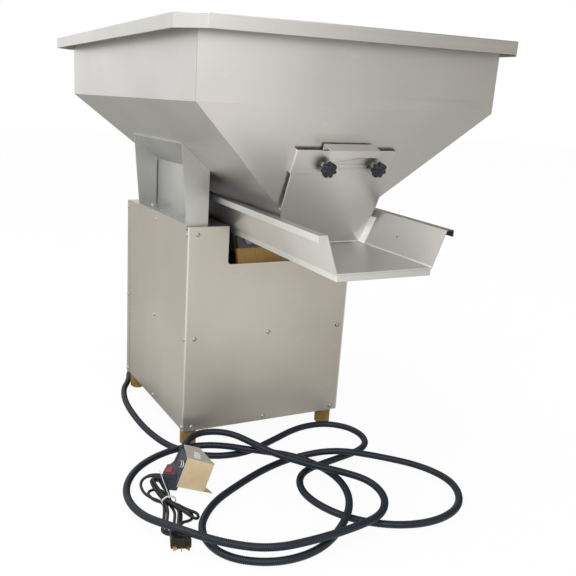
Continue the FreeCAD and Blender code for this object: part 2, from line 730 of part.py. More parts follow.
def knob(side):
    """Lobed hand knob moulded on its clamping stud, whose end stops just short of the plate."""
    base = BAR_FACE + KNOB_STAND
    tip = GATE_FACE + CLEAR
    ring = (KNOB_D - KNOB_LOBE_D) / 2
    out = V(0, 0, 1)
    pieces = [rod(V(0, 0, base), out, 2 * ring, KNOB_H),
              rod(V(0, 0, base - KNOB_HUB_H), out, KNOB_HUB_D, KNOB_HUB_H),
              rod(V(0, 0, tip), out, STUD_D, base + STUD_IN - tip)]
    for k in range(KNOB_LOBES):
        angle = 2 * math.pi * k / KNOB_LOBES + math.pi / 2
        place = V(ring * math.cos(angle), ring * math.sin(angle), base)
        pieces.append(rod(place, out, KNOB_LOBE_D, KNOB_H - KNOB_EASE))
    body = fused(pieces)
    body.translate(knob_spot(side))
    return on_slope(body)


# Trough, drawn level and then tipped towards its discharge end, which is cut upright


TROUGH_START = TROUGH_FRONT_Y - SHEET


def tipped(shape):
    shape = shape.copy()
    shape.rotate(V(0, TROUGH_FRONT_Y, TROUGH_FLOOR), V(1, 0, 0), TROUGH_TILT)
    return shape


def trimmed(shape):
    half, high = TROUGH_TOP_W, 2 * TROUGH_WALL
    ahead = box(-half, half, TROUGH_START - high, TROUGH_FRONT_Y, TROUGH_FLOOR - high, TROUGH_FLOOR + high)
    return tipped(shape).cut(ahead)


def trough():
    half_top, half_floor = TROUGH_TOP_W / 2, TROUGH_FLOOR_W / 2
    left = [(-half_top - LIP_W, TROUGH_TOP - LIP_D), (-half_top - LIP_W, TROUGH_TOP), (-half_top, TROUGH_TOP),
            (-half_floor, TROUGH_FLOOR)]
    line = left + [(-x, z) for x, z in left[::-1]]
    section = folded(line[::-1], SHEET)
    body = prism_y(section, TROUGH_START, TROUGH_BACK_Y)
    body = rounded(body, TROUGH_BEND, lambda p: near(p.z, TROUGH_FLOOR) and near(abs(p.x), half_floor))
    top = TROUGH_WALL - REAR_WALL_DROP
    spread = half_floor + (half_top - half_floor) * top / TROUGH_WALL
    high = TROUGH_FLOOR + top
    rear = [(-half_floor, TROUGH_FLOOR), (half_floor, TROUGH_FLOOR), (spread, high), (-spread, high)]
    return trimmed(fused([body, prism_y(rear, TROUGH_BACK_Y - SHEET, TROUGH_BACK_Y)]))


def trough_pan():
    """Shallow inverted tray that stiffens the trough's floor."""
    half = TROUGH_FLOOR_W / 2
    low = PAN_TOP - PAN_SKIRT
    body = box(-half, half, TROUGH_START, TROUGH_BACK_Y, low, PAN_TOP)
    front, back = TROUGH_FRONT_Y + SHEET, TROUGH_BACK_Y - SHEET
    return trimmed(body.cut(box(-half + SHEET, half - SHEET, front, back, low - 1, PAN_TOP - SHEET)))


# Magnetic drive, drawn in the upright plane: a is the distance back across the springs


ACROSS = V(0, math.cos(LEAN), -math.sin(LEAN))


def drive_point(a, z):
    """(y, z) of the place at distance a behind the front spring's seat, at height z."""
    spring_y = CAB_FRONT_Y + SPRING_SET + (z - BASE_FRONT_LUG_TOP) * math.tan(LEAN)
    return spring_y + a / math.cos(LEAN), z


def drive_block(a0, a1, seat, z_mid, height, half_x):
    """Block square to the springs from a0 to a1, centred on the axis that meets the seat at a height."""
    y, z = drive_point(seat, z_mid)
    body = box(-half_x, half_x, a0 - seat, a1 - seat, -height / 2, height / 2)
    body.rotate(V(0, 0, 0), V(1, 0, 0), -SPRING_LEAN)
    body.translate(V(0, y, z))
    return body


def drive_outline(pairs):
    return [drive_point(a, z) for a, z in pairs]


def vibrator_base():
    outline = drive_outline([
        (0, BASE_BOTTOM), (0, BASE_FRONT_LUG_TOP), (FRONT_LUG, BASE_FRONT_LUG_TOP), (FRONT_LUG, BASE_FLOOR),
        (CORE_BACK, BASE_FLOOR), (CORE_BACK, BASE_REAR_LUG_TOP), (SPRING_PITCH, BASE_REAR_LUG_TOP),
        (SPRING_PITCH, BASE_BOTTOM)])
    return drilled(prism_x(outline, -BASE_W / 2, BASE_W / 2), clamp_bolt_holes(BASE_CLAMP_Z))


def tray_bracket():
    """Casting between the springs and the armature, its top cut to the tipped pan."""
    web = TRAY_TOP - TRAY_WEB
    top = TRAY_TOP + TROUGH_RISE
    rear = SPRING_PITCH - FRONT_LUG
    outline = drive_outline([
        (0, top), (0, TRAY_LUG_BOTTOM), (FRONT_LUG, TRAY_LUG_BOTTOM), (FRONT_LUG, web),
        (ARM_BACK - ARM_T, web), (ARM_BACK - ARM_T, ARM_BOTTOM), (ARM_BACK, ARM_BOTTOM), (ARM_BACK, web),
        (rear, web), (rear, TRAY_LUG_BOTTOM), (SPRING_PITCH, TRAY_LUG_BOTTOM), (SPRING_PITCH, top)])
    above = tipped(box(-BASE_W, BASE_W, TROUGH_FRONT_Y, TROUGH_BACK_Y, TRAY_TOP, top + TROUGH_RISE))
    body = prism_x(outline, -BASE_W / 2, BASE_W / 2).cut(above)
    return drilled(body, clamp_bolt_holes(TRAY_CLAMP_Z))


def magnet_block(a0, a1, height, half_x):
    return drive_block(a0, a1, POLE, CORE_Z, height, half_x)


def armature():
    return magnet_block(ARM_BACK, ARM_BACK + ARMATURE_T, CORE_H, CORE_W / 2)


def magnet_core():
    """E-shaped stack: yoke on the rear lug and three limbs towards the armature."""
    yoke = magnet_block(CORE_BACK - CORE_YOKE, CORE_BACK, CORE_H, CORE_W / 2)
    middle = magnet_block(POLE, CORE_BACK, CORE_H, CORE_LIMB / 2)
    limbs = []
    for side in (-1, 1):
        limb = magnet_block(POLE, CORE_BACK, CORE_H, CORE_SIDE / 2)
        limb.translate(V(side * (CORE_W - CORE_SIDE) / 2, 0, 0))
        limbs.append(limb)
    return fused([yoke, middle] + limbs)


def magnet_coil():
    front, back = POLE + COIL_T, CORE_BACK - CORE_YOKE - CLEAR
    outside = magnet_block(front, back, CORE_H + 2 * COIL_T, CORE_LIMB / 2 + COIL_T)
    return outside.cut(magnet_block(front - 1, back + 1, CORE_H + 2 * CLEAR, CORE_LIMB / 2 + CLEAR))


def leaf_pack(seat, outward):
    """Two leaves with spacers between them where they are clamped."""
    low, high = BASE_FRONT_LUG_TOP - LEAF_FOOT, TRAY_TOP - LEAF_GAP
    half = SPRING_W / 2
    solids = []
    for start in (0, LEAF_T + LEAF_GAP):
        a0, a1 = sorted((seat + outward * start, seat + outward * (start + LEAF_T)))
        solids.append(prism_x(drive_outline([(a0, low), (a0, high), (a1, high), (a1, low)]), -half, half))
    for z in (BASE_CLAMP_Z, TRAY_CLAMP_Z):
        a0, a1 = sorted((seat + outward * LEAF_T, seat + outward * (LEAF_T + LEAF_GAP)))
        solids.append(drive_block(a0, a1, seat, z, CLAMP_H, half))
    holes = clamp_bolt_holes(BASE_CLAMP_Z) + clamp_bolt_holes(TRAY_CLAMP_Z)
    return Part.makeCompound([drilled(s, holes) for s in solids])


SPRING_SEATS = ((0.0, -1), (SPRING_PITCH, 1))
BOLT_REACH = PACK_T + CLAMP_T + FRONT_LUG / 2


def clamp_axes(z):
    """Outer end and inward direction of each clamping bolt at a height."""
    axes = []
    for seat, outward in SPRING_SEATS:
        y, level = drive_point(seat, z)
        for side in (-1, 1):
            end = V(side * CLAMP_BOLT_X, y, level) + ACROSS * (outward * (PACK_T + CLAMP_T))
            axes.append((end, ACROSS * (-outward)))
    return axes


def clamp_bolt_holes(z):
    return [rod(end - inward, inward, BOLT_D + CLEAR, BOLT_REACH + 2) for end, inward in clamp_axes(z)]


def clamp_bars(z):
    bars = []
    for seat, outward in SPRING_SEATS:
        a0, a1 = sorted((seat + outward * PACK_T, seat + outward * (PACK_T + CLAMP_T)))
        bars.append(drilled(drive_block(a0, a1, seat, z, CLAMP_H, SPRING_W / 2), clamp_bolt_holes(z)))
    return Part.makeCompound(bars)


def clamp_bolts(z):
    bolts = []
    for end, inward in clamp_axes(z):
        bolts.append(rod(end, inward, BOLT_D, BOLT_REACH).fuse(hexagon(BOLT_AF, end, -inward, BOLT_HEAD)))
    return Part.makeCompound(bolts)


def isolator_places():
    front = drive_point(0, BASE_BOTTOM)[0] + ISOLATOR_INSET
    back = drive_point(SPRING_PITCH, BASE_BOTTOM)[0] - ISOLATOR_INSET
    return [(side * ISOLATOR_X, y) for side in (-1, 1) for y in (front, back)]


def isolators():
    low = BASE_BOTTOM - ISOLATOR_H
    places = [V(x, y, low) for x, y in isolator_places()]
    return Part.makeCompound([rod(p, V(0, 0, 1), ISOLATOR_D, ISOLATOR_H) for p in places])


def drive_pillars():
    height = BASE_BOTTOM - ISOLATOR_H - FLOOR_Z
    places = [V(x, y, FLOOR_Z) for x, y in isolator_places()]
    return Part.makeCompound([rod(p, V(0, 0, 1), PILLAR_D, height) for p in places])


# Glands, cords and the control pieces


def gland(place, outward, diameter, length, bore, thread=0.0, thread_d=0.0):
    """Nut, body and dome about an axis, with an optional thread back through a panel."""
    nut = hexagon(diameter, place, outward, GLAND_NUT * diameter / GLAND_D)
    body = Part.makeCone(diameter * 0.46, bore / 2 + 1.2, length, place, outward)
    shape = fused([nut, body])
    if thread:
        shape = shape.fuse(rod(place, -outward, thread_d, thread))
    return shape


def cord_tube(route, diameter, name):
    """Round cord along straight runs joined by the largest tangent arcs that fit."""
    points = [V(*p) for p in route]
    edges = []
    radii = []
    start = points[0]
    for before, corner, after in zip(points, points[1:], points[2:]):
        a, b = corner - before, after - corner
        turn = a.getAngle(b)
        reach = 0.45 * min(a.Length, b.Length)
        radii.append(reach / math.tan(turn / 2))
        a.normalize()
        b.normalize()
        first, last = corner - a * reach, corner + b * reach
        inward = (b - a).normalize()
        sag = radii[-1] / math.cos(turn / 2) - radii[-1]
        edges.append(Part.LineSegment(start, first).toShape())
        edges.append(Part.Arc(first, corner + inward * sag, last).toShape())
        start = last
    edges.append(Part.LineSegment(start, points[-1]).toShape())
    path = Part.Wire(edges)
    ring = Part.Wire(Part.makeCircle(diameter / 2, points[0], points[1] - points[0]))
    tube = path.makePipeShell([ring], True, False)
    ideal = math.pi * diameter ** 2 / 4 * path.Length
    print(name, "length", round(path.Length), "volume ratio", round(tube.Volume / ideal, 4),
          "radii", [round(r) for r in radii])
    return tube


def control_placed(shape):
    shape = shape.copy()
    shape.rotate(V(0, 0, 0), V(0, 1, 0), CONTROL_ROLL)
    shape.rotate(V(0, 0, 0), V(0, 0, 1), CONTROL_YAW)
    shape.translate(CONTROL_AT)
    return shape


def control_bracket():
    """Steel sheet folded to a C, with an eared foot flange."""
    t = CONTROL_T
    web = box(-CONTROL_W, 0, 0, t, 0, CONTROL_H)
    flange = [(-CONTROL_W, 0), (0, 0), (-CONTROL_TAPER, CONTROL_TOP_D),
              (CONTROL_TAPER - CONTROL_W, CONTROL_TOP_D)]
    top = prism_z(flange, CONTROL_H - t, CONTROL_H)
    ear = [(-CONTROL_FOOT_W, 0), (CONTROL_EAR, 0), (CONTROL_EAR / 3, CONTROL_FOOT_D),
           (-CONTROL_FOOT_W, CONTROL_FOOT_D)]
    body = fused([web, top, prism_z(ear, 0, t)])
    body = rounded(body, t, lambda p: near(p.y, 0) and near(p.z, CONTROL_H))
    hole = rod(V(CONTROL_EAR * 0.42, CONTROL_FOOT_D * 0.38, -1), V(0, 0, 1), CONTROL_HOLE_D, t + 2)
    return control_placed(body.cut(hole))


def control_body():
    """Speed control's case under the bracket's top flange, bored for the knob's spindle."""
    left = BODY_SIDE / 2 - CONTROL_W
    case = box(left, -BODY_SIDE, CONTROL_T, CONTROL_T + BODY_D, BODY_LOW, CONTROL_H - CONTROL_T)
    bore = rod(V(left, DIAL_Y, DIAL_Z), V(1, 0, 0), SPINDLE_D + CLEAR, SPINDLE_L + CLEAR)
    return control_placed(case.cut(bore))


def speed_knob():
    face = BODY_SIDE / 2 - CONTROL_W - CLEAR
    body = rod(V(face - DIAL_H, DIAL_Y, DIAL_Z), V(1, 0, 0), DIAL_D, DIAL_H)
    body = body.fuse(rod(V(face, DIAL_Y, DIAL_Z), V(1, 0, 0), SPINDLE_D, SPINDLE_L))
    half = POINTER_W / 2
    pointer = box(face - DIAL_H - 1, face - DIAL_H / 2, DIAL_Y - half, DIAL_Y + half, DIAL_Z, DIAL_Z + DIAL_D)
    return control_placed(body.cut(pointer))


def box_placed(shape):
    shape = shape.copy()
    shape.rotate(V(0, 0, 0), V(0, 0, 1), BOX_YAW)
    shape.translate(BOX_AT)
    return shape


def switch_box():
    """Plain case with upright corners rounded, a seam across its front and a pocket for the rocker."""
    body = box(0, BOX_W, 0, BOX_D, 0, BOX_H)
    body = rounded(body, BOX_R, lambda p: near(p.x * (BOX_W - p.x), 0) and near(p.y * (BOX_D - p.y), 0))
    seam = box(BOX_R, BOX_W - BOX_R, -1, BOX_SEAM, BOX_H - BOX_LID, BOX_H - BOX_LID + BOX_SEAM)
    x, y = ROCKER_AT
    half_x, half_y = ROCKER_W / 2 + CLEAR, ROCKER_L / 2 + ROCKER_SWING
    pocket = box(x - half_x, x + half_x, y - half_y, y + half_y, BOX_H - ROCKER_H - ROCKER_SWING, BOX_H + 1)
    pin = rod(V(x - half_x - ROCKER_PIN_L, y, BOX_H - ROCKER_SINK), V(1, 0, 0), ROCKER_PIN_D + CLEAR,
              2 * (half_x + ROCKER_PIN_L))
    return box_placed(body.cut(seam).cut(pocket).cut(pin))


def power_rocker():
    """Rocker with a shallow V on top, tipped one way on its pin."""
    x, y = ROCKER_AT
    half = ROCKER_L / 2
    low, high = ROCKER_SINK - ROCKER_H, ROCKER_SINK + ROCKER_RISE
    outline = [(ROCKER_SWING - half, low), (half - ROCKER_SWING, low), (half, 0), (half, high),
               (0, high - ROCKER_SWING), (-half, high), (-half, 0)]
    body = prism_x(outline, -ROCKER_W / 2, ROCKER_W / 2)
    pin_half = ROCKER_W / 2 + ROCKER_PIN_L
    body = body.fuse(rod(V(-pin_half, 0, 0), V(1, 0, 0), ROCKER_PIN_D, 2 * pin_half))
    body.rotate(V(0, 0, 0), V(1, 0, 0), ROCKER_TILT)
    body.translate(V(x, y, BOX_H - ROCKER_SINK))
    return box_placed(body)


def box_gland():
    x, z = BOX_GLAND_AT
    return box_placed(gland(V(x, BOX_D, z), V(0, 1, 0), BOX_GLAND_D, GLAND_L, HOSE_D))


def lead_gland():
    return box_placed(gland(V(0, BOX_D / 2, LEAD_GLAND_Z), V(-1, 0, 0), LEAD_GLAND_D, LEAD_GLAND_L, LEAD_D))


def rear_gland():
    place = V(REAR_GLAND_X, CAB_BACK_Y, REAR_GLAND_Z)
    return gland(place, V(0, 1, 0), GLAND_D, GLAND_L, HOSE_D, GLAND_NUT, GLAND_THREAD_D)


def hank_along(k):
    before, after = HANK_AXIS[max(k - 1, 0)], HANK_AXIS[min(k + 1, len(HANK_AXIS) - 1)]
    return V(after[0] - before[0], after[1] - before[1], 0).normalize()


def hank_ring(k, grow):
    """Oval round the hank's axis at one of its stations, lying on the tie's thickness."""
    along = hank_along(k)
    x, y = HANK_AXIS[k]
    lift = HANK_H[k] / 2 + TIE_T + TIE_SLACK
    oval = Part.Ellipse(V(0, 0, 0), HANK_W[k] / 2 + grow, HANK_H[k] / 2 + grow).toShape()
    turn = FreeCAD.Rotation(V(0, 0, 1).cross(along), V(0, 0, 1), along, "ZXY")
    oval.Placement = FreeCAD.Placement(V(x, y, lift), turn)
    return Part.Wire(oval)


def mains_hank():
    return Part.makeLoft([hank_ring(k, 0.0) for k in range(len(HANK_AXIS))], True, True)


def hank_tie():
    along = hank_along(TIE_AT)
    outer = Part.Face(hank_ring(TIE_AT, TIE_T + TIE_SLACK)).extrude(along * TIE_W)
    band = outer.cut(Part.Face(hank_ring(TIE_AT, TIE_SLACK)).extrude(along * TIE_W))
    band.translate(along * (-TIE_W / 2))
    return band


def plug_placed(shape):
    shape = shape.copy()
    shape.rotate(V(0, 0, 0), V(0, 0, 1), PLUG_YAW)
    shape.translate(PLUG_AT)
    return shape


def plug_body():
    """Moulded block on a tapered neck, with its pins towards the front."""
    body = box(-PLUG_W / 2, PLUG_W / 2, -PLUG_L, 0, -PLUG_H / 2, PLUG_H / 2)
    body = rounded(body, PLUG_R, lambda p: near(abs(p.x), PLUG_W / 2) and near(abs(p.z), PLUG_H / 2))
    neck = Part.makeCone(PLUG_NECK_D / 2, LEAD_D / 2 + 0.8, PLUG_NECK_L, V(0, 0, 0), V(0, 1, 0))
    return plug_placed(fused([body, neck]))


def plug_pins():
    pins = []
    for k in (-1, 0, 1):
        blade = box(-PIN_W / 2, PIN_W / 2, -PLUG_L - PIN_L, -PLUG_L, -PIN_T / 2, PIN_T / 2)
        blade.rotate(V(0, 0, 0), V(0, 1, 0), 90 if k == 0 else k * 30)
        blade.translate(V(k * PIN_PITCH, 0, 0))
        pins.append(blade)
    return plug_placed(Part.makeCompound(pins))


def main():
    os.makedirs("parts", exist_ok=True)
    save("base_plate", base_plate())
    for end, where in ((-1, "front"), (1, "rear")):
        for side, hand in ((-1, "left"), (1, "right")):
            save("post_" + where + "_" + hand, corner_post(side, end))
    save("mid_rails", mid_rails())
    save("deck_plate", deck_plate())
    save("front_panel", front_panel())
    save("rear_panel", rear_panel())
    save("left_panel", side_panel(-1))
    save("right_panel", side_panel(1))
    save("panel_screws", panel_screws())
    for name, (x, y) in foot_places().items():
        save(name, foot(x, y))
    save("foot_bolts", foot_bolts())
    save("hopper_rim", hopper_rim())
    for side in ("front", "rear", "left", "right"):
        save("hopper_" + side + "_sheet", hopper_sheet(side))
    save("left_bracket", bracket_left())
    save("right_bracket", mirrored(bracket_left()))
    save("bracket_bolts", bracket_bolts())
    save("gate_bar", gate_bar())
    save("gate_nuts", gate_nuts())
    save("gate_plate", gate_plate())
    for side, hand in ((-1, "left"), (1, "right")):
        save(hand + "_knob", knob(side))
    save("trough", trough())
    save("trough_pan", trough_pan())
    save("vibrator_base", vibrator_base())
    save("tray_bracket", tray_bracket())
    save("front_leaf_springs", leaf_pack(0, -1))
    save("rear_leaf_springs", leaf_pack(SPRING_PITCH, 1))
    save("base_clamp_bars", clamp_bars(BASE_CLAMP_Z))
    save("base_clamp_bolts", clamp_bolts(BASE_CLAMP_Z))
    save("tray_clamp_bars", clamp_bars(TRAY_CLAMP_Z))
    save("tray_clamp_bolts", clamp_bolts(TRAY_CLAMP_Z))
    save("magnet_core", magnet_core())
    save("magnet_coil", magnet_coil())
    save("armature", armature())
    save("isolators", isolators())
    save("drive_pillars", drive_pillars())
    save("rear_gland", rear_gland())
    save("conduit", cord_tube(CONDUIT_ROUTE, HOSE_D, "conduit"))
    save("control_bracket", control_bracket())
    save("control_body", control_body())
    save("speed_knob", speed_knob())
    save("switch_box", switch_box())
    save("power_rocker", power_rocker())
    save("box_gland", box_gland())
    save("lead_gland", lead_gland())
    save("mains_lead", cord_tube(LEAD_ROUTE, LEAD_D, "mains lead"))
    save("mains_hank", mains_hank())
    save("mains_tail", cord_tube(TAIL_ROUTE, LEAD_D, "mains tail"))
    save("hank_tie", hank_tie())
    save("plug_body", plug_body())
    save("plug_pins", plug_pins())


main()
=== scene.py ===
"""Looks of a vibrating feeder: finishes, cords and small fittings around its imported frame."""

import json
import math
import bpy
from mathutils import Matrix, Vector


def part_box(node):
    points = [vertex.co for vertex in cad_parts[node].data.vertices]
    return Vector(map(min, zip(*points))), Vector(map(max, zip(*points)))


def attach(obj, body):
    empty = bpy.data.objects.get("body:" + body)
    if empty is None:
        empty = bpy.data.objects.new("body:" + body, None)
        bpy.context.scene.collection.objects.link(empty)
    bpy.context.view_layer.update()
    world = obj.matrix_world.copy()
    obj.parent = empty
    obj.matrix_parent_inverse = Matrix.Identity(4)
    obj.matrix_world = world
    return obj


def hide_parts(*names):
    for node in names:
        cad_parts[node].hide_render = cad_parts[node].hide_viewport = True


bl_info = {
    "name": "Vibrating feeder looks",
    "version": (1, 0, 0),
    "blender": (4, 5, 0),
    "location": "View3D > Sidebar > Feeder",
    "description": "Dresses the packed vibrating feeder with its finishes, cords and small fittings",
    "category": "Object",
}

import bmesh
import bpy
from bpy.props import FloatProperty, FloatVectorProperty, IntProperty, PointerProperty
from mathutils import Matrix, Vector

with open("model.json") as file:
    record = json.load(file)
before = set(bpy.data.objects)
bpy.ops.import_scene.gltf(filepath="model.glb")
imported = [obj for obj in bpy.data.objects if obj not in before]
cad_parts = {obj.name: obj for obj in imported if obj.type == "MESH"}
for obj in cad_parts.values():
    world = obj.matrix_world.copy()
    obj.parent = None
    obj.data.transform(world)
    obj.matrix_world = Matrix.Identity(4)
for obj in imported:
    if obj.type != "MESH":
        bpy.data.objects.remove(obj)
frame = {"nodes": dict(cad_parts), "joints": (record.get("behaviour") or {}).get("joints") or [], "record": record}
NODES = frame["nodes"]
JOINTS = {joint["name"]: joint for joint in frame["joints"]}
MOUNTS = {mount["name"]: mount for mount in frame["record"]["mounts"]}
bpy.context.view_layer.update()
MM = 0.001
PHOTO_SIDE = 576


# Routes of the cords, in millimetres: the conduit's as its solid has it, the lead's within 8 mm of its solid
CONDUIT_ROUTE = [
    (40, 298.5, 70), (40, 344, 70), (15, 400, 45), (-48, 424, 16), (-112, 394, 7), (-152, 338, 7),
    (-171, 281, 7), (-197, 238, 7), (-215, 169, 7), (-220, 87, 7), (-217, 5, 7), (-199, -75, 7),
    (-147, -135, 7), (-71, -145, 7), (6, -112, 7), (78, -79, 7), (139, -77, 7), (178, -104, 7),
    (191, -146, 7), (177, -188, 7), (140, -212, 7), (72, -226, 7), (-11, -244, 7), (-48, -309, 7),
    (-29, -391, 7), (31, -449, 7), (112, -470, 7), (191, -446, 7), (237, -378, 7), (222, -306, 7),
    (155, -261, 17), (80, -222, 26), (11, -194, 10), (-62, -210, 7), (-137, -247, 7), (-209, -290, 7),
    (-259, -355, 7), (-252, -431, 7), (-184, -474, 7), (-99, -469, 8), (-29, -428, 24), (20, -359, 20),
    (35, -283, 17), (-5, -221, 27), (-66, -164, 22), (-129, -115, 22), (-206, -105, 21), (-286, -134, 14),
    (-332, -197, 7), (-336, -289, 15), (-300, -366, 29), (-251, -423, 27), (-188, -462, 25),
    (-107, -467, 27), (-25, -457, 26), (29, -440, 24), (63, -402, 27), (65, -355, 32), (36, -315, 34),
    (-8, -272, 35), (-49, -216, 36), (-72, -160, 38), (-89, -124, 40), (-116, -104, 41.5), (-152, -99, 42),
    (-184, -119, 42), (-209.31, -146.74, 22), (-225.14, -168.61, 22),
]
LEAD_ROUTE = [
    (-260.36, -183.92, 15), (-272, -174, 14), (-285, -171, 9), (-294.5, -179, 5), (-298, -195, 3),
    (-298, -214, 3), (-292, -233, 4), (-283, -247, 5),
]
TAIL_ROUTE = [
    (-262, -266, 5), (-252, -280, 4), (-246, -296, 3), (-249, -312, 3), (-261, -322, 6),
    (-274.5, -326.5, 9.5), (-282.3, -334.2, 9.5), (-286.02, -345.64, 9.5),
]

# The hank, in millimetres: its middle line with the tie halfway, its passes through the tie as places across
# and up, and its loops in winding order as half width, height, end, shift across and rise
HANK_AXIS = [(-279, -197), (-280, -204), (-279, -226), (-271, -258), (-286, -296), (-301, -328), (-306, -342)]
TIE_REACH = 5
TIE_SLOTS = [(-8, 2.7), (8, 2.7), (-2.7, 2.7), (2.7, 2.7), (-5.3, 7.1), (5.3, 7.1), (0, 7.1), (-2.7, 11.4),
             (2.7, 11.4)]
UPPER_LOOPS = [(13, 2.8, 52, -1, 1), (8, 4, 58, 4, 14), (9, 7.6, 59, 4, 14), (-7.3, 10, 56, 6, 14)]
UPPER_STATIONS = (22, 38)
LOWER_LOOPS = [(-14, 2.8, 89, 7, 0), (-8.5, 2.8, 82, 2, 0), (-9, 7.4, 86, 8, -3)]
LOWER_STATIONS = (24, 46, 68)
TIP_LOOP = [
    (-263, -272, 9.6), (-255.5, -288, 9), (-249.5, -297, 8.8), (-242.5, -305.4, 8.2), (-239.9, -310.6, 6),
    (-241.9, -316.1, 4.4), (-247.1, -318.6, 5.2), (-252.6, -316.6, 7.8), (-255.1, -311.4, 8.8),
    (-260, -297, 9.2), (-267, -277, 10),
]
TIE_TAIL = [(-270.5, -259, 14.5), (-269, -252, 16.5), (-268, -240, 18), (-267, -222, 23), (-266.5, -208, 29),
            (-267, -200, 36)]
TIE_KNOT = [(-262, -262, 13), (-266, -262, 17), (-272, -260, 17.2), (-276, -256, 15.5), (-280.5, -256, 10)]

# A loop's end is half an octagon: steps back from its tip and places across, as shares of its half width. A
# station nearer to where that end starts than the gap, in millimetres, is left out
LOOP_ENDS = [(1.414, 1.0), (0.586, 1.0), (0.0, 0.414)]
STATION_GAP = 6

# Where the painted marks show on the trough, in metres: painted light on its right wall, painted shade on its
# rear, hem and a dent, a painted highlight on its front edge, and the painted glow of daylight down the hopper
WALL_LIGHT_LEAN = 0.1225
WALL_LIGHT_Y = (-0.1886, -0.150)
WALL_LIGHT_Z = (0.420, 0.4725)
WALL_LIGHT_X = (0.084, 0.120)
FLOOR_LIGHT_Y = (-0.2215, -0.190)
FLOOR_LIGHT_X = (-0.080, 0.086)
REAR_SHADE_Y = (-0.150, -0.070)
WALL_PAINTED_LIGHT_Y = (-0.27, -0.40)
FRONT_EDGE_PAINTED_HIGHLIGHT_Y = (-0.4180, -0.4156)
HEM_X = (0.1072, 0.130)
PAINTED_DENT_SHADE = (0.0946, -0.3155, 0.4527)
PAINTED_DENT_SHADE_REACH = (0.0026, 0.0012)

# How far a face looks along an axis for a mark to start on it and to be full: the painted light and shade on the
# trough's floor, walls and hem, and the film on the control
FLAT_TURN = (0.7, 0.95)
INWARD_TURN = (-0.3, -0.6)
HEM_TURN_Z = (0.5, 0.2)
HEM_TURN_X = (0.7, 0.4)
FILM_TURN = (0.6, 0.9)

# Painted marks on the cabinet, in metres: a painted highlight on its front corners and painted shade in the holes
# where its folds meet
CORNER_X = (0.1728, 0.176)
CORNER_Y = (-0.0745, -0.0712)
HOLE_X = (0.172, 0.176)
HOLE_Y = (-0.0690, -0.0648)
HOLE_Z = (0.4270, 0.4312)
MARK_EDGE = 0.0006

# Seams with a weld bead on the right bracket, in millimetres: both ends of each
BRACKET_SEAMS = [((135.6, 203.9, 438), (135.6, 203.9, 527)), ((135.6, -58.4, 438), (135.6, -58.4, 527))]

# Plain colours, how often the lines of a rolled sheet and its rubs change along each axis, and the rubs' turn
WHITE, BLACK = (1, 1, 1, 1), (0, 0, 0, 1)
# Painted highlight for the cabinet's front corners and painted shade for the holes where its folds meet
CORNER_PAINTED_HIGHLIGHT, HOLE_PAINTED_SHADE = (0.95, 0.94, 0.92, 1), (0.01, 0.01, 0.012, 1)
ALONG_X, ALONG_Y, ALONG_Z = (4, 300, 300), (300, 4, 300), (300, 300, 4)
RUB_SCALE, RUB_TURN = (30, 160, 60), (0.4, 0.2, 0.7)

# Depths of the relief that a finish has, in metres
FINE_RELIEF, DEEP_RELIEF, CAST_RELIEF = 0.00002, 0.00004, 0.0001

# Profiles of turned pieces, as shares of their radius and height
SCREW_DOME = [(1.0, 0.0), (1.0, 0.3), (0.9, 0.62), (0.72, 0.85), (0.5, 0.96), (0.28, 1.0), (0, 1.0)]
KNOB_LEVELS = [(0, 0), (0.88, 0.0), (0.97, 0.05), (1.0, 0.14), (1.0, 0.70), (0.97, 0.83), (0.90, 0.93),
               (0.78, 0.985), (0.62, 1.0), (0.46, 0.99), (0.40, 0.94), (0.2, 0.92), (0, 0.92)]
DIAL_GRIP = [(0, 0.03), (0.96, 0.03), (1.0, 0.08), (1.0, 0.24), (0.86, 0.27), (0.86, 0.5), (0.90, 0.52),
             (0.90, 0.62), (0.78, 0.66), (0.78, 0.96), (0.72, 1.0), (0, 1.0)]
DIAL_RINGS = [[(0.6, 0.27), (0.95, 0.27), (0.97, 0.32), (0.97, 0.43), (0.95, 0.48), (0.6, 0.48)],
              [(0.5, 0.68), (0.87, 0.68), (0.89, 0.71), (0.89, 0.81), (0.87, 0.84), (0.5, 0.84)]]

# The cross in a screw's head, as shares of the head's radius and height
CROSS_REACH, CROSS_HALF, CROSS_DEPTH = 0.6, 0.08, 0.45

# Steps of the knob's outline for each lobe, its valleys as a share of the ring of lobes, and the stud's root
# and end as shares of its radius
LOBE_STEPS = 12
LOBE_VALLEY = 0.97
STUD_ROOT, STUD_END = 0.86, 0.7

# A weld drop's shape along its three axes, and steps of the conduit's mesh for each rib
DROP_SHAPE = {"X": 1.0, "Y": 0.55, "Z": 0.9}
RIB_STEPS = 4.0

# In metres: how close points of one screw lie, the depth in which a foot of the gate's bar is looked for,
# with the lean that tells its ends apart, how far a knob's hub goes into the knob, and how close points lie
# that are joined, in a CAD node and in a new mesh
SCREW_REACH = 0.012
FOOT_DEPTH, FOOT_LEAN = 0.0001, 0.3
HUB_OVERLAP = 0.0002
NODE_MERGE, MESH_MERGE = 0.00001, 1e-6


def place(point):
    """A point in metres from one in millimetres."""
    return Vector(point) * MM


# What a user may change
def metres(name, about, default):
    """A length in metres, or several of them."""
    if isinstance(default, tuple):
        return FloatVectorProperty(name=name, description=about, default=default, size=len(default),
                                   unit="LENGTH")
    return FloatProperty(name=name, description=about, default=default, unit="LENGTH")


def angle(name, about, degrees):
    """An angle, with its default in degrees."""
    return FloatProperty(name=name, description=about, default=math.radians(degrees), subtype="ANGLE")


def colour(name, about, default):
    """A colour; a finish made from it takes its name."""
    return FloatVectorProperty(name=name, description=about, default=default, subtype="COLOR")


def watts(name, about, default):
    """The power of a lamp."""
    return FloatProperty(name=name, description=about, default=default, unit="POWER")


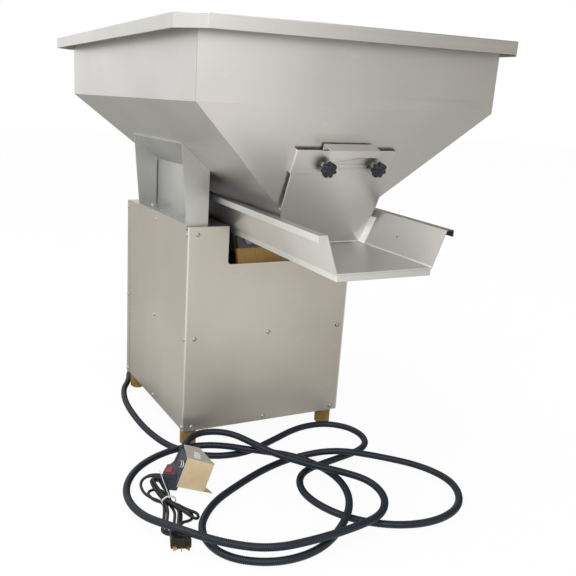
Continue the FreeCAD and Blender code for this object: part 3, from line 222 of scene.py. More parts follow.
class FeederSizes(bpy.types.PropertyGroup):
    """Sizes of the small forms that the looks add."""

    edge_round: metres("Edge round", "Rounding of folded sheet edges", 0.0008)
    cast_round: metres("Cast round", "Rounding of cast and moulded edges", 0.0012)
    plug_round: metres("Plug round", "Rounding of the plug's body", 0.0045)
    round_from: angle("Round from", "Fold angle from which an edge is rounded", 38)
    hose_width: metres("Conduit width", "Outside diameter of the conduit", 0.013)
    hose_length: metres("Conduit length", "Length of the conduit along its middle", 4.57)
    rib_pitch: metres("Rib pitch", "Distance between two ribs of the conduit", 0.0032)
    rib_depth: metres("Rib depth", "Height of a rib over its groove", 0.0007)
    hose_sides: IntProperty(name="Conduit sides", description="Faces round the conduit", default=12)
    lead_width: metres("Lead width", "Diameter of the mains lead", 0.005)
    bead_width: metres("Bead width", "Width of a weld bead", 0.0034)
    bead_pitch: metres("Bead pitch", "Distance between two ripples of a weld bead", 0.0017)
    label_size: metres("Label", "Width, length and thickness of the blank label", (0.0115, 0.026, 0.0002))
    label_place: metres("Label place", "The label's middle from the dial: back, aside and up",
                        (0.0230, 0.0130, 0.01605))
    label_turn: angle("Label turn", "Turn of the label on its flange", 15)
    screw_head: metres("Screw head", "Diameter of a panel screw's head", 0.0084)
    screw_height: metres("Screw head height", "Height of a panel screw's head", 0.0024)
    screw_shank: metres("Screw shank", "Diameter and length of a panel screw's shank", (0.004, 0.006))
    knob_width: metres("Knob width", "Width of a clamp knob over its lobes", 0.026)
    knob_height: metres("Knob height", "Height of a clamp knob", 0.011)
    lobe_width: metres("Lobe width", "Diameter of a clamp knob's lobe", 0.007)
    lobe_soft: metres("Lobe softness", "Rounding of the valleys between the lobes", 0.0004)
    lobes: IntProperty(name="Lobes", description="Lobes round a clamp knob", default=7)
    hub_size: metres("Knob hub", "Diameter and height of the hub under a clamp knob", (0.014, 0.003))
    stud_size: metres("Stud", "Diameter and length of a clamp knob's stud", (0.006, 0.0105))
    threads: IntProperty(name="Threads", description="Threads on a clamp knob's stud", default=10)
    dial_size: metres("Dial", "Diameter and height of the speed dial", (0.013, 0.009))
    wire_width: metres("Tie wire", "Width of the tie's wire", 0.0013)
    sleeve_length: metres("Sleeve length", "Length of a strain-relief sleeve", 0.024)
    sleeve_width: metres("Sleeve width", "Diameter of a strain-relief sleeve at its root", 0.0088)
    sleeve_wall: metres("Sleeve wall", "Wall of a strain-relief sleeve at its thin end", 0.0004)
    sleeve_groove: metres("Sleeve groove", "Depth of the grooves round a strain-relief sleeve", 0.0003)


class FeederColours(bpy.types.PropertyGroup):
    """Colours of the finishes."""

    hopper: colour("Hopper steel", "Plain rolled stainless sheet", (0.75, 0.738, 0.71))
    cabinet: colour("Cabinet steel", "Satin stainless sheet with a warm cast", (0.70, 0.66, 0.595))
    bracket: colour("Bracket steel", "Cool galvanised sheet", (0.68, 0.685, 0.675))
    # Painted shade: the trough's floor is drawn darker than its walls
    trough: colour("Trough steel", "Bright rolled sheet, with painted shade on its floor", (0.74, 0.735, 0.715))
    bolt: colour("Fastener steel", "Zinc-plated fasteners", (0.55, 0.55, 0.54))
    bead: colour("Weld bead", "Brushed weld metal", (0.20, 0.195, 0.185))
    amber: colour("Amber rubber", "Cast polyurethane of the feet", (0.33, 0.21, 0.045))
    laminate: colour("Spring laminate", "Ochre glass-fibre leaf springs", (0.78, 0.46, 0.14))
    iron: colour("Drive iron", "Painted cast iron of the drive", (0.11, 0.115, 0.135))
    coil: colour("Coil wrap", "Varnished tape round the coil", (0.16, 0.045, 0.02))
    knob: colour("Knob plastic", "Navy-black thermoset of the clamp knobs", (0.012, 0.015, 0.024))
    hose: colour("Conduit skin", "Blue-black plastic skin", (0.003, 0.0075, 0.018))
    lead: colour("Lead rubber", "Black sheath of the mains lead", (0.012, 0.012, 0.013))
    housing: colour("Control plastic", "Black moulded housings", (0.030, 0.038, 0.050))
    control: colour("Control steel", "Thin grey steel of the control's bracket", (0.80, 0.78, 0.74))
    film: colour("Film", "Yellowed film on the control's front", (0.74, 0.605, 0.39))
    film_patch: colour("Film patches", "Deeper patches of the film", (0.70, 0.51, 0.24))
    # Painted shade under the hopper, laid on the trough's rear and in its hem
    rear_shade: colour("Rear shade", "Painted shade for the trough's rear steel and its hem", (0.20, 0.205, 0.225))
    # Glow colour of the painted daylight in the trough
    daylight: colour("Daylight", "Daylight that falls down the hopper by the gate", (0.42, 0.42, 0.40))
    dial: colour("Dial plastic", "Black of the speed dial", (0.014, 0.014, 0.016))
    slate: colour("Box plastic", "Slate blue-grey of the switch box", (0.045, 0.058, 0.075))
    rocker: colour("Rocker red", "Red switch rocker", (0.42, 0.018, 0.016))
    tie: colour("Tie white", "White plastic tie and blank label", (0.74, 0.74, 0.72))
    brass: colour("Pin brass", "Brass of the plug's pins", (0.62, 0.43, 0.17))


class FeederStage(bpy.types.PropertyGroup):
    """The camera, lamps and floor."""

    camera_place: metres("Camera place", "Where the camera stands", (-0.6662, -1.2740, 0.6594))
    azimuth: angle("Azimuth", "Turn of the camera about the upright", -25.37)
    elevation: angle("Elevation", "Height of the view above the horizon", 16.25)
    roll: angle("Roll", "Lean of the camera", 2.60)
    lens: FloatProperty(name="Lens", description="Focal length for a 36 mm picture", default=45.89,
                        unit="CAMERA")
    axis_pixel: FloatVectorProperty(name="Axis pixel", description="Pixel that the lens axis falls on",
                                    default=(224.43, 311.35), size=2)
    floor: colour("Floor", "Pale floor", (0.96, 0.96, 0.96))
    floor_size: metres("Floor size", "Half the floor's side", 12.0)
    key_power: watts("Key lamp", "Power of the large lamp at the front left", 22.0)
    fill_power: watts("Fill lamp", "Power of the lamp in front", 3.5)
    top_power: watts("Top lamp", "Power of the lamp overhead", 14.0)


# Places and sizes of the lamps, where they aim, and how the floor and the sky look
LAMPS = {"key": ((-1.9, -1.7, 2.3), 1.6), "fill": ((0.3, -2.6, 1.3), 1.2), "top": ((-0.2, 0.3, 2.8), 1.8)}
LAMP_AIM = (0, 0, 0.35)
FLOOR_GLOW = 0.94
FLOOR_ROUGHNESS = 0.8
FLOOR_WARM = (1, 0.98, 0.935, 1)
SKY_RIGHT = (0.27, 0.25, 0.205, 1)
SKY_TURN = (0.2, 0.75)
SENSOR_WIDTH = 36.0
CLIP_START = 0.01

# Where the metal sees the floor grow darker, a painted reflection: as a share of the way right and back, and in
# metres from the middle for a painted shadow near the feeder, each with what it takes away
TONE_RIGHT, LOSS_RIGHT = (0.33, 0.62), 0.52
TONE_REAR, LOSS_REAR = (0.6, 1.0), 0.62
PAINTED_SHADOW_NEAR, PAINTED_SHADOW_LOSS = (0.75, 0.25), 0.5


def sizes():
    return bpy.context.scene.feeder_sizes


def colours():
    return bpy.context.scene.feeder_colours


# Building blocks of node trees
def feed(tree, slot, value):
    """Links a socket to an input, or sets the input's own value."""
    if isinstance(value, bpy.types.NodeSocket):
        tree.links.new(value, slot)
    else:
        slot.default_value = value


def new_node(tree, kind, inputs=(), **settings):
    """A new node with its settings, and with sockets or values on its inputs."""
    made = tree.nodes.new(kind)
    for label, value in settings.items():
        setattr(made, label, value)
    for key, value in dict(inputs).items():
        feed(tree, made.inputs[key], value)
    return made


def calc(tree, operation, a, b=0.0):
    """The result of a Math node on sockets or numbers."""
    return new_node(tree, "ShaderNodeMath", {0: a, 1: b}, operation=operation).outputs[0]


def product(tree, first, *others):
    """The product of sockets and numbers."""
    for value in others:
        first = calc(tree, "MULTIPLY", first, value)
    return first


def noise(tree, vector, scale, detail):
    """The value of a noise texture."""
    inputs = {"Vector": vector, "Scale": scale, "Detail": detail}
    return new_node(tree, "ShaderNodeTexNoise", inputs).outputs["Fac"]


def spread(tree, value, low, high):
    """A value stretched so that low and high become 0 and 1."""
    inputs = {"Value": value, "From Min": low, "From Max": high}
    return new_node(tree, "ShaderNodeMapRange", inputs).outputs["Result"]


def bands(tree, *limits):
    """One where each value lies between its two limits, with a soft edge."""
    masks = []
    for value, (low, high) in limits:
        masks += [spread(tree, value, low - MARK_EDGE, low + MARK_EDGE),
                  spread(tree, value, high + MARK_EDGE, high - MARK_EDGE)]
    return product(tree, *masks)


def mixed(tree, share, a, b):
    """A mix of two colours or colour sockets; the numbers are those of the node's colour sockets."""
    return new_node(tree, "ShaderNodeMix", {0: share, 6: a, 7: b}, data_type="RGBA").outputs[2]


def coords(tree, kind="Object"):
    return new_node(tree, "ShaderNodeTexCoord").outputs[kind]


def axes(tree, vector):
    """The three parts of a vector."""
    return list(new_node(tree, "ShaderNodeSeparateXYZ", {"Vector": vector}).outputs)


OUTPUT_KINDS = {"VALUE": "NodeSocketFloat", "RGBA": "NodeSocketColor", "GEOMETRY": "NodeSocketGeometry"}


def node_group(name, kind, inputs, build):
    """A node tree with named inputs, each a kind and a default; build gives its outputs by name."""
    tree = bpy.data.node_groups.new(name, kind)
    for label, (socket_kind, default) in inputs.items():
        socket = tree.interface.new_socket(label, in_out="INPUT", socket_type="NodeSocket" + socket_kind)
        if default is not None:
            socket.default_value = default
    results = build(tree, tree.nodes.new("NodeGroupInput").outputs)
    out = tree.nodes.new("NodeGroupOutput")
    for label, socket in results.items():
        tree.interface.new_socket(label, in_out="OUTPUT", socket_type=OUTPUT_KINDS[socket.type])
        tree.links.new(socket, out.inputs[label])
    return tree


# Shader groups that several finishes share
def cloudy_tone(tree, given):
    """Broad, soft changes of tone, as sheet metal and castings have."""
    cloud = spread(tree, noise(tree, coords(tree), given["Scale"], 2.0), 0.35, 0.68)
    return {"Color": mixed(tree, product(tree, cloud, given["Amount"]), given["Color"], given["Second"])}


def rolled_grain(tree, given):
    """Fine lines along one direction of the sheet, as rolling and brushing leave them."""
    lines = noise(tree, given["Vector"], 1.0, 4.0)
    lift = product(tree, calc(tree, "SUBTRACT", lines, 0.5), given["Spread"])
    return {"Roughness": calc(tree, "ADD", given["Roughness"], lift), "Height": lines}


def rub_marks(tree, given):
    """Short scattered rubs and scratches, as handling leaves them."""
    strokes = noise(tree, given["Vector"], 1.0, 2.0)
    patches = spread(tree, noise(tree, coords(tree), 11.0, 2.0), 0.45, 0.7)
    marks = spread(tree, strokes, given["Rarity"], calc(tree, "ADD", given["Rarity"], 0.08))
    return {"Mask": product(tree, marks, patches)}


def moulded_skin(tree, given):
    """The fine orange-peel skin of moulded plastic, rubber and paint."""
    where = coords(tree)
    smear = noise(tree, where, 35.0, 2.0)
    lift = product(tree, calc(tree, "SUBTRACT", smear, 0.5), given["Spread"])
    return {"Roughness": calc(tree, "ADD", given["Roughness"], lift),
            "Height": noise(tree, where, given["Scale"], 2.0)}


SHADER_GROUPS = {
    "tone": ("Cloudy tone", cloudy_tone, {
        "Color": ("Color", (0.5, 0.5, 0.5, 1)), "Second": ("Color", (0.4, 0.4, 0.4, 1)),
        "Scale": ("Float", 6.0), "Amount": ("Float", 0.5)}),
    "grain": ("Rolled grain", rolled_grain, {
        "Vector": ("Vector", (0, 0, 0)), "Roughness": ("Float", 0.4), "Spread": ("Float", 0.1)}),
    "rubs": ("Rub marks", rub_marks, {"Vector": ("Vector", (0, 0, 0)), "Rarity": ("Float", 0.62)}),
    "skin": ("Moulded skin", moulded_skin, {
        "Scale": ("Float", 900.0), "Roughness": ("Float", 0.45), "Spread": ("Float", 0.15)}),
}
GROUPS = {}
FINISH = {}


# Finishes
class Finish:
    """A material under construction with its Principled shader, named and kept after its colour."""

    def __init__(self, key):
        self.colour = getattr(colours(), key)
        self.material = bpy.data.materials.new(colours().bl_rna.properties[key].name)
        self.material.use_nodes = True
        self.tree = self.material.node_tree
        self.shader = self.tree.nodes["Principled BSDF"]
        FINISH[key] = self.material

    def feed(self, **values):
        """Feeds the shader's inputs, named with underscores for spaces."""
        for label, value in values.items():
            feed(self.tree, self.shader.inputs[label.replace("_", " ")], value)

    def group(self, key, **values):
        """The outputs of a shared group with these inputs."""
        return new_node(self.tree, "ShaderNodeGroup", values, node_tree=GROUPS[key]).outputs

    def scaled(self, scale, turn=(0, 0, 0)):
        """Object coordinates, scaled and turned."""
        inputs = {"Vector": coords(self.tree), "Scale": scale, "Rotation": turn}
        return new_node(self.tree, "ShaderNodeMapping", inputs).outputs["Vector"]

    def bump(self, height, distance, strength):
        inputs = {"Height": height, "Distance": distance, "Strength": strength}
        self.feed(Normal=new_node(self.tree, "ShaderNodeBump", inputs).outputs["Normal"])

    def cover(self, mask, over):
        """Lays a colour over the base colour by a mask."""
        bare = self.shader.inputs["Base Color"].links[0].from_socket
        self.feed(Base_Color=mixed(self.tree, mask, bare, over))


def shaded(base, factor=1.0):
    """A colour made lighter or darker, with its alpha."""
    return tuple(min(1.0, c * factor) for c in base[:3]) + (1.0,)


def steel_finish(key, grain, roughness, cloud=0.88, rub=0.62, metal=1.0):
    """Sheet steel: cloudy tone, lines along the sheet and a few rubs."""
    f = Finish(key)
    tone = f.group("tone", Color=shaded(f.colour), Second=shaded(f.colour, cloud), Scale=5.0, Amount=0.8)
    lines = f.group("grain", Vector=f.scaled(grain), Roughness=roughness, Spread=0.14)
    rubs = f.group("rubs", Vector=f.scaled(RUB_SCALE, RUB_TURN), Rarity=rub)
    worn = product(f.tree, rubs["Mask"], 0.35)
    f.feed(Base_Color=mixed(f.tree, worn, tone["Color"], shaded(f.colour, 1.12)),
           Roughness=lines["Roughness"], Metallic=metal)
    f.bump(lines["Height"], FINE_RELIEF, 0.35)
    return f


def moulded_finish(key, roughness, scale=900.0, second=1.35, peel=FINE_RELIEF, shine=0.5):
    """Moulded plastic, rubber or paint: an orange-peel skin with a slightly uneven tone."""
    f = Finish(key)
    tone = f.group("tone", Color=shaded(f.colour), Second=shaded(f.colour, second), Scale=40.0, Amount=0.6)
    skin = f.group("skin", Scale=scale, Roughness=roughness, Spread=0.18)
    f.feed(Base_Color=tone["Color"], Roughness=skin["Roughness"], Specular_IOR_Level=shine)
    f.bump(skin["Height"], peel, 0.5)


def film_finish():
    """The control's steel: grey sheet, with a yellowed film on the face that looks to the front."""
    f, c = Finish("control"), colours()
    front = Vector(MOUNTS["control_ear_hole"]["axis"]).cross(Vector(JOINTS["speed_knob_turn"]["axis"]))
    inputs = {0: coords(f.tree, "Normal"), 1: front if front.y < 0 else -front}
    facing = new_node(f.tree, "ShaderNodeVectorMath", inputs, operation="DOT_PRODUCT").outputs["Value"]
    film = spread(f.tree, facing, *FILM_TURN)
    patches = f.group("tone", Color=shaded(c.film), Second=shaded(c.film_patch), Scale=60.0, Amount=0.7)
    lines = f.group("grain", Vector=f.scaled(ALONG_X), Roughness=0.42, Spread=0.14)
    f.feed(Base_Color=mixed(f.tree, film, shaded(f.colour), patches["Color"]), Roughness=lines["Roughness"],
           Metallic=calc(f.tree, "SUBTRACT", 0.9, product(f.tree, film, 0.75)))
    f.bump(lines["Height"], FINE_RELIEF, 0.3)


def cabinet_finish():
    """The cabinet's sheet, with a painted highlight on its front corners and painted shade in the small holes
    where the folds meet.
    """
    f = steel_finish("cabinet", ALONG_Z, 0.40)
    x, y, z = axes(f.tree, coords(f.tree))
    side = calc(f.tree, "ABSOLUTE", x)
    # Painted highlight: a bright band down each front corner
    f.cover(bands(f.tree, (side, CORNER_X), (y, CORNER_Y)), CORNER_PAINTED_HIGHLIGHT)
    # Painted shade: a dark spot where a hole at the folds' corner is in shade
    f.cover(bands(f.tree, (y, HOLE_Y), (z, HOLE_Z), (side, HOLE_X)), HOLE_PAINTED_SHADE)


def trough_finish():
    """The trough's sheet: painted shade on its floor, rear, hem and a dent, painted light on its right wall and
    front edge, and a painted glow of the daylight down the hopper behind the gate.
    """
    f, c = steel_finish("trough", ALONG_Y, 0.34, rub=0.56, metal=0.8), colours()
    t = f.tree
    where = coords(t)
    x, y, z = axes(t, where)
    turn_x, _, turn_z = axes(t, coords(t, "Normal"))
    flat, inward = spread(t, turn_z, *FLAT_TURN), spread(t, turn_x, *INWARD_TURN)
    hem = bands(t, (x, HEM_X))
    # Painted shade mask: the inside faces of the folded lip
    hem_painted_shade = product(t, hem, spread(t, turn_z, *HEM_TURN_Z), spread(t, turn_x, *HEM_TURN_X))
    # Distance from the spot where a small dent's shade is painted
    dent_shade_distance = new_node(t, "ShaderNodeVectorMath", {0: where, 1: PAINTED_DENT_SHADE}, operation="DISTANCE").outputs["Value"]
    for mask, over, factor in (
            # Painted light: the right wall's inner face is lighter towards the front
            (product(t, inward, spread(t, y, *WALL_PAINTED_LIGHT_Y), 0.7), c.trough, 1.3),
            # Painted shade: faces that look up, the trough's floor, are darker
            (product(t, flat, 0.9), c.trough, 0.62),
            # Painted highlight: a bright line along the floor's front edge
            (product(t, flat, bands(t, (y, FRONT_EDGE_PAINTED_HIGHLIGHT_Y))), c.trough, 1.3),
            # Painted shade: the trough's rear, under the hopper, darkens to the shade colour
            (product(t, spread(t, y, *REAR_SHADE_Y), 0.8), c.rear_shade, 1.0),
            # Painted shade in the hollow of the folded lip
            (hem_painted_shade, c.rear_shade, 0.3),
            # Painted shade on the top of the lip
            (product(t, hem, flat), c.trough, 0.35),
            # Painted shade: a dark spot where a small dent in the right wall is in shade
            (spread(t, dent_shade_distance, *PAINTED_DENT_SHADE_REACH), c.trough, 0.45)):
        f.cover(mask, shaded(over, factor))
    # Painted light: a glowing strip on the right wall and a fading band on the floor beside the gate stand in for
    # daylight that falls down the hopper
    ahead = calc(t, "ADD", y, product(t, z, WALL_LIGHT_LEAN))
    wall = product(t, bands(t, (ahead, WALL_LIGHT_Y), (z, WALL_LIGHT_Z), (x, WALL_LIGHT_X)), inward)
    ramp = spread(t, y, *FLOOR_LIGHT_Y[::-1])
    floor = product(t, bands(t, (y, FLOOR_LIGHT_Y), (x, FLOOR_LIGHT_X)), ramp, flat)
    lit = calc(t, "MAXIMUM", wall, floor)
    f.feed(Emission_Color=mixed(t, lit, BLACK, shaded(c.daylight)), Emission_Strength=1.0)


def amber_finish():
    """Cast polyurethane: amber, a little glossy, lighter where it is thin."""
    f = Finish("amber")
    tone = f.group("tone", Color=shaded(f.colour), Second=shaded(f.colour, 0.55), Scale=60.0, Amount=0.7)
    skin = f.group("skin", Scale=500.0, Roughness=0.38, Spread=0.2)
    f.feed(Base_Color=tone["Color"], Roughness=skin["Roughness"], Subsurface_Weight=0.25,
           Subsurface_Scale=0.01, Subsurface_Radius=(1.0, 0.55, 0.15))
    f.bump(skin["Height"], DEEP_RELIEF, 0.4)


def laminate_finish():
    """Glass-fibre laminate: long fibres and layers across the leaf's thickness."""
    f = Finish("laminate")
    fibres = f.group("grain", Vector=f.scaled((900, 40, 40)), Roughness=0.42, Spread=0.2)
    tone = f.group("tone", Color=shaded(f.colour), Second=shaded(f.colour, 1.45), Scale=18.0, Amount=0.8)
    f.feed(Base_Color=mixed(f.tree, fibres["Height"], tone["Color"], shaded(f.colour, 0.7)),
           Roughness=fibres["Roughness"], Coat_Weight=0.2)
    f.bump(fibres["Height"], DEEP_RELIEF, 0.5)


# Meshes and pieces
def dress(obj, finish):
    """Gives an object one material."""
    obj.data.materials.clear()
    obj.data.materials.append(FINISH[finish])


def ease_edges(name, width, segments=2):
    """Rounds the folded edges of a CAD node, without touching its mesh."""
    obj = NODES[name]
    join = obj.modifiers.new("Join corners", "WELD")
    join.merge_threshold = NODE_MERGE
    ease = obj.modifiers.new("Ease edges", "BEVEL")
    ease.width = width
    ease.segments = segments
    ease.limit_method = "ANGLE"
    ease.angle_limit = sizes().round_from
    ease.harden_normals = True
    ease.use_clamp_overlap = True


def linked(name, data):
    """A new object in the scene."""
    obj = bpy.data.objects.new(name, data)
    bpy.context.scene.collection.objects.link(obj)
    return obj


def piece_from(name, mesh, finish, body):
    """A finished piece at the origin that rides on a body."""
    obj = linked(name, mesh)
    dress(obj, finish)
    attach(obj, body)
    return obj


def mesh_from(bm, name, smooth_below=40):
    """A mesh from a bmesh with outward faces, smooth where it bends by less than an angle in degrees."""
    bmesh.ops.remove_doubles(bm, verts=bm.verts, dist=MESH_MERGE)
    bmesh.ops.recalc_face_normals(bm, faces=bm.faces)
    for face in bm.faces:
        face.smooth = True
    for edge in bm.edges:
        edge.smooth = len(edge.link_faces) == 2 and edge.calc_face_angle(0.0) < math.radians(smooth_below)
    mesh = bpy.data.meshes.new(name)
    bm.to_mesh(mesh)
    bm.free()
    return mesh


def upright_on(spot, facing, up):
    """A matrix at a spot whose Z faces one way and whose Y leans to another, both in the part frame."""
    z = Vector(facing).normalized()
    x = Vector(up).cross(z).normalized()
    return Matrix.Translation(spot) @ Matrix((x, z.cross(x), z)).transposed().to_4x4()


def join_rings(bm, rings):
    """Faces between rings of points, one after another; a ring of one point is a tip."""
    for low, high in zip(rings, rings[1:]):
        for k in range(max(len(low), len(high))):
            quad = [low[k % len(low)], low[(k + 1) % len(low)],
                    high[(k + 1) % len(high)], high[k % len(high)]]
            bm.faces.new(list(dict.fromkeys(quad)))


def profile_of(shares, radius, height):
    """Pairs of radius and height from shares of both."""
    return [(radius * r, height * z) for r, z in shares]


def turned(bm, profile, matrix, steps=24, outline=None):
    """Turns pairs of radius and height about the matrix's Z; an outline may wave each radius."""
    rings = []
    for radius, height in profile:
        count = steps if radius > 0 else 1
        ring = []
        for k in range(count):
            turn = math.tau * k / count
            reach = radius * (outline(turn) if outline else 1.0)
            spot = Vector((reach * math.cos(turn), reach * math.sin(turn), height))
            ring.append(bm.verts.new(matrix @ spot))
        rings.append(ring)
    join_rings(bm, rings)


def tube_along(bm, points, radii, sides=14):
    """A closed tube along points, each with its own radius."""
    rings = [[bm.verts.new(points[0])]]
    across = (points[1] - points[0]).orthogonal().normalized()
    for k, (point, radius) in enumerate(zip(points, radii)):
        ahead = (points[min(k + 1, len(points) - 1)] - points[max(k - 1, 0)]).normalized()
        across = (across - ahead * across.dot(ahead)).normalized()
        over = ahead.cross(across)
        turns = [math.tau * j / sides for j in range(sides)]
        spokes = [math.cos(turn) * across + math.sin(turn) * over for turn in turns]
        rings.append([bm.verts.new(point + radius * spoke) for spoke in spokes])
    rings.append([bm.verts.new(points[-1])])
    join_rings(bm, rings)


# Geometry Nodes
def geometry_tree(name, inputs, build):
    """A Geometry Nodes tree with named inputs that ends in realized instances and a material."""
    def close(tree, given):
        real = new_node(tree, "GeometryNodeRealizeInstances", {"Geometry": build(tree, given)})
        paint = new_node(tree, "GeometryNodeSetMaterial", {
            "Geometry": real.outputs["Geometry"], "Material": given["Material"]})
        return {"Geometry": paint.outputs["Geometry"]}

    inputs = {"Geometry": ("Geometry", None), **inputs, "Material": ("Material", None)}
    return node_group(name, "GeometryNodeTree", inputs, close)


def grown(carrier, tree, name, **values):
    """Runs a tree on a carrier's data and gives the result as a plain mesh; the carrier goes."""
    modifier = carrier.modifiers.new(tree.name, "NODES")
    modifier.node_group = tree
    ids = {item.name: item.identifier for item in tree.interface.items_tree if item.in_out == "INPUT"}
    for label, value in values.items():
        modifier[ids[label]] = value
    carrier.update_tag()
    bpy.context.view_layer.update()
    graph = bpy.context.evaluated_depsgraph_get()
    mesh = bpy.data.meshes.new_from_object(carrier.evaluated_get(graph))
    mesh.name = name
    carrier.modifiers.clear()
    bpy.data.objects.remove(carrier)
    return mesh


def ribbed_hose(tree, given):
    """A ribbed tube along a curve."""
    pitch = given["Rib pitch"]
    fine = new_node(tree, "GeometryNodeResampleCurve", {
        "Curve": given["Geometry"], "Length": calc(tree, "DIVIDE", pitch, RIB_STEPS)}, mode="LENGTH")
    along = new_node(tree, "GeometryNodeSplineParameter").outputs["Length"]
    wave = calc(tree, "SINE", product(tree, calc(tree, "DIVIDE", along, pitch), math.tau))
    lift = product(tree, wave, product(tree, given["Rib depth"], 0.5))
    ring = new_node(tree, "GeometryNodeCurvePrimitiveCircle", {"Radius": 1.0, "Resolution": given["Sides"]})
    return new_node(tree, "GeometryNodeCurveToMesh", {
        "Curve": fine.outputs["Curve"], "Profile Curve": ring.outputs["Curve"], "Fill Caps": True,
        "Scale": calc(tree, "ADD", given["Radius"], lift)}).outputs["Mesh"]


def shape_on_points(tree, given):
    """A shape set on each point, turned so that its +Z faces along the point's own direction."""
    shape = new_node(tree, "GeometryNodeObjectInfo", {"Object": given["Shape"]}).outputs["Geometry"]
    facing = new_node(tree, "GeometryNodeInputNamedAttribute", {"Name": "facing"}, data_type="FLOAT_VECTOR")
    turn = new_node(tree, "FunctionNodeAlignRotationToVector", {"Vector": facing.outputs["Attribute"]},
                    axis="Z")
    return new_node(tree, "GeometryNodeInstanceOnPoints", {
        "Points": given["Geometry"], "Instance": shape,
        "Rotation": turn.outputs["Rotation"]}).outputs["Instances"]


def weld_drops(tree, given):
    """A weld bead along edges: flattened drops that overlap."""
    seam = new_node(tree, "GeometryNodeMeshToCurve", {"Mesh": given["Geometry"]}).outputs["Curve"]
    steps = new_node(tree, "GeometryNodeCurveToPoints", {"Curve": seam, "Length": given["Pitch"]},
                     mode="LENGTH").outputs
    drop = new_node(tree, "GeometryNodeMeshIcoSphere", {
        "Radius": product(tree, given["Width"], 0.5), "Subdivisions": 2})
    flat = new_node(tree, "ShaderNodeCombineXYZ", DROP_SHAPE)
    return new_node(tree, "GeometryNodeInstanceOnPoints", {
        "Points": steps["Points"], "Instance": drop.outputs["Mesh"], "Rotation": steps["Rotation"],
        "Scale": flat.outputs["Vector"]}).outputs["Instances"]


def curve_object(name, points):
    """One open NURBS spline through the pull of its points, given in millimetres."""
    data = bpy.data.curves.new(name, "CURVE")
    data.dimensions = "3D"
    data.resolution_u = 12
    spline = data.splines.new("NURBS")
    spline.points.add(len(points) - 1)
    for point, target in zip(spline.points, points):
        point.co = (*place(target), 1.0)
    spline.order_u = 3
    spline.use_endpoint_u = True
    return linked(name, data)


def line_points(curve):
    """The points that Blender itself gives for a curve with no bevel."""
    bpy.context.view_layer.update()
    graph = bpy.context.evaluated_depsgraph_get()
    line = bpy.data.meshes.new_from_object(curve.evaluated_get(graph))
    points = [v.co.copy() for v in line.vertices]
    bpy.data.meshes.remove(line)
    return points


# Operators
class FEEDER_OT_finishes(bpy.types.Operator):
    """Make the shader groups and the finishes"""

    bl_idname = "feeder.finishes"
    bl_label = "Finishes"

    def execute(self, context):
        for key, (name, build, inputs) in SHADER_GROUPS.items():
            GROUPS[key] = node_group(name, "ShaderNodeTree", inputs, build)
        steel_finish("hopper", ALONG_X, 0.36)
        cabinet_finish()
        steel_finish("bracket", ALONG_Z, 0.42, cloud=0.75)
        trough_finish()
        steel_finish("bolt", (700, 700, 700), 0.32)
        steel_finish("bead", (500, 500, 500), 0.38, cloud=0.6)
        film_finish()
        steel_finish("brass", (900, 900, 900), 0.28)
        moulded_finish("iron", 0.55, 300.0, peel=CAST_RELIEF)
        moulded_finish("coil", 0.4, 400.0)
        moulded_finish("knob", 0.34)
        moulded_finish("hose", 0.28, shine=0.42)
        moulded_finish("lead", 0.32, shine=0.4)
        moulded_finish("housing", 0.48, 1400.0)
        moulded_finish("dial", 0.36)
        moulded_finish("slate", 0.42, 1100.0)
        moulded_finish("rocker", 0.3)
        moulded_finish("tie", 0.45, second=0.9)
        amber_finish()
        laminate_finish()
        return {"FINISHED"}


class FEEDER_OT_conduit(bpy.types.Operator):
    """Lay the ribbed conduit from the rear gland to the switch box"""

    bl_idname = "feeder.conduit"
    bl_label = "Conduit"

    def execute(self, context):
        s = sizes()
        line = curve_object("conduit_line", CONDUIT_ROUTE)
        path = line_points(line)
        tree = geometry_tree("Ribbed hose", {
            "Radius": ("Float", 0.006), "Rib pitch": ("Float", 0.003), "Rib depth": ("Float", 0.0006),
            "Sides": ("Int", 12)}, ribbed_hose)
        mesh = grown(line, tree, "ribbed_conduit", **{
            "Radius": s.hose_width / 2 - s.rib_depth / 2, "Rib pitch": s.rib_pitch, "Rib depth": s.rib_depth,
            "Sides": s.hose_sides, "Material": FINISH["hose"]})
        mesh.shade_smooth()
        hose = piece_from("ribbed_conduit", mesh, "hose", "frame")
        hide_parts("conduit")
        return {"FINISHED"}


def hank_place(along, across, height):
    """A place in the hank: along its middle line from the tie, across it and up, all in millimetres."""
    middle = len(HANK_AXIS) // 2
    line = [Vector(p) for p in (HANK_AXIS[middle:] if along > 0 else HANK_AXIS[middle::-1])]
    left = abs(along)
    for start, end in zip(line, line[1:]):
        step = (end - start).length
        if left <= step or end is line[-1]:
            break
        left -= step
    ahead = (end - start) / step
    side = Vector((-ahead.y, ahead.x)) * (1 if along > 0 else -1)
    spot = start + ahead * left + side * across
    return (spot.x, spot.y, height)


def hank_loop(loop, way, stations):
    """The control points of one loop that leaves the tie on one side, turns at a round end and comes back."""
    width, height, end, shift, rise = loop
    ends = [(end - back * abs(width), share) for back, share in LOOP_ENDS]
    track = [(s, 1.0) for s in stations if s < ends[0][0] - STATION_GAP] + ends
    out = [hank_place(way * s, shift + share * width, height + rise * s / end) for s, share in track]
    back = [hank_place(way * s, shift - share * width, height + rise * s / end) for s, share in track[::-1]]
    return out + back


def hank_turns():
    """The hank's passes through the tie and the loops between them, in winding order."""
    turns = []
    lower = [hank_loop(loop, 1, LOWER_STATIONS) for loop in LOWER_LOOPS] + [TIP_LOOP]
    upper = [hank_loop(loop, -1, UPPER_STATIONS) for loop in UPPER_LOOPS]
    for k, (across, height) in enumerate(TIE_SLOTS):
        way = 1 if k % 2 == 0 else -1
        turns += [hank_place(way * s, across, height) for s in (-TIE_REACH, TIE_REACH)]
        if k + 1 < len(TIE_SLOTS):
            turns += (lower if way > 0 else upper)[k // 2]
    return turns


def part_of(path, reach):
    """The points of a path's first stretch."""
    out, gone = [path[0]], 0.0
    for a, b in zip(path, path[1:]):
        gone += (b - a).length
        out.append(b)
        if gone >= reach:
            break
    return out


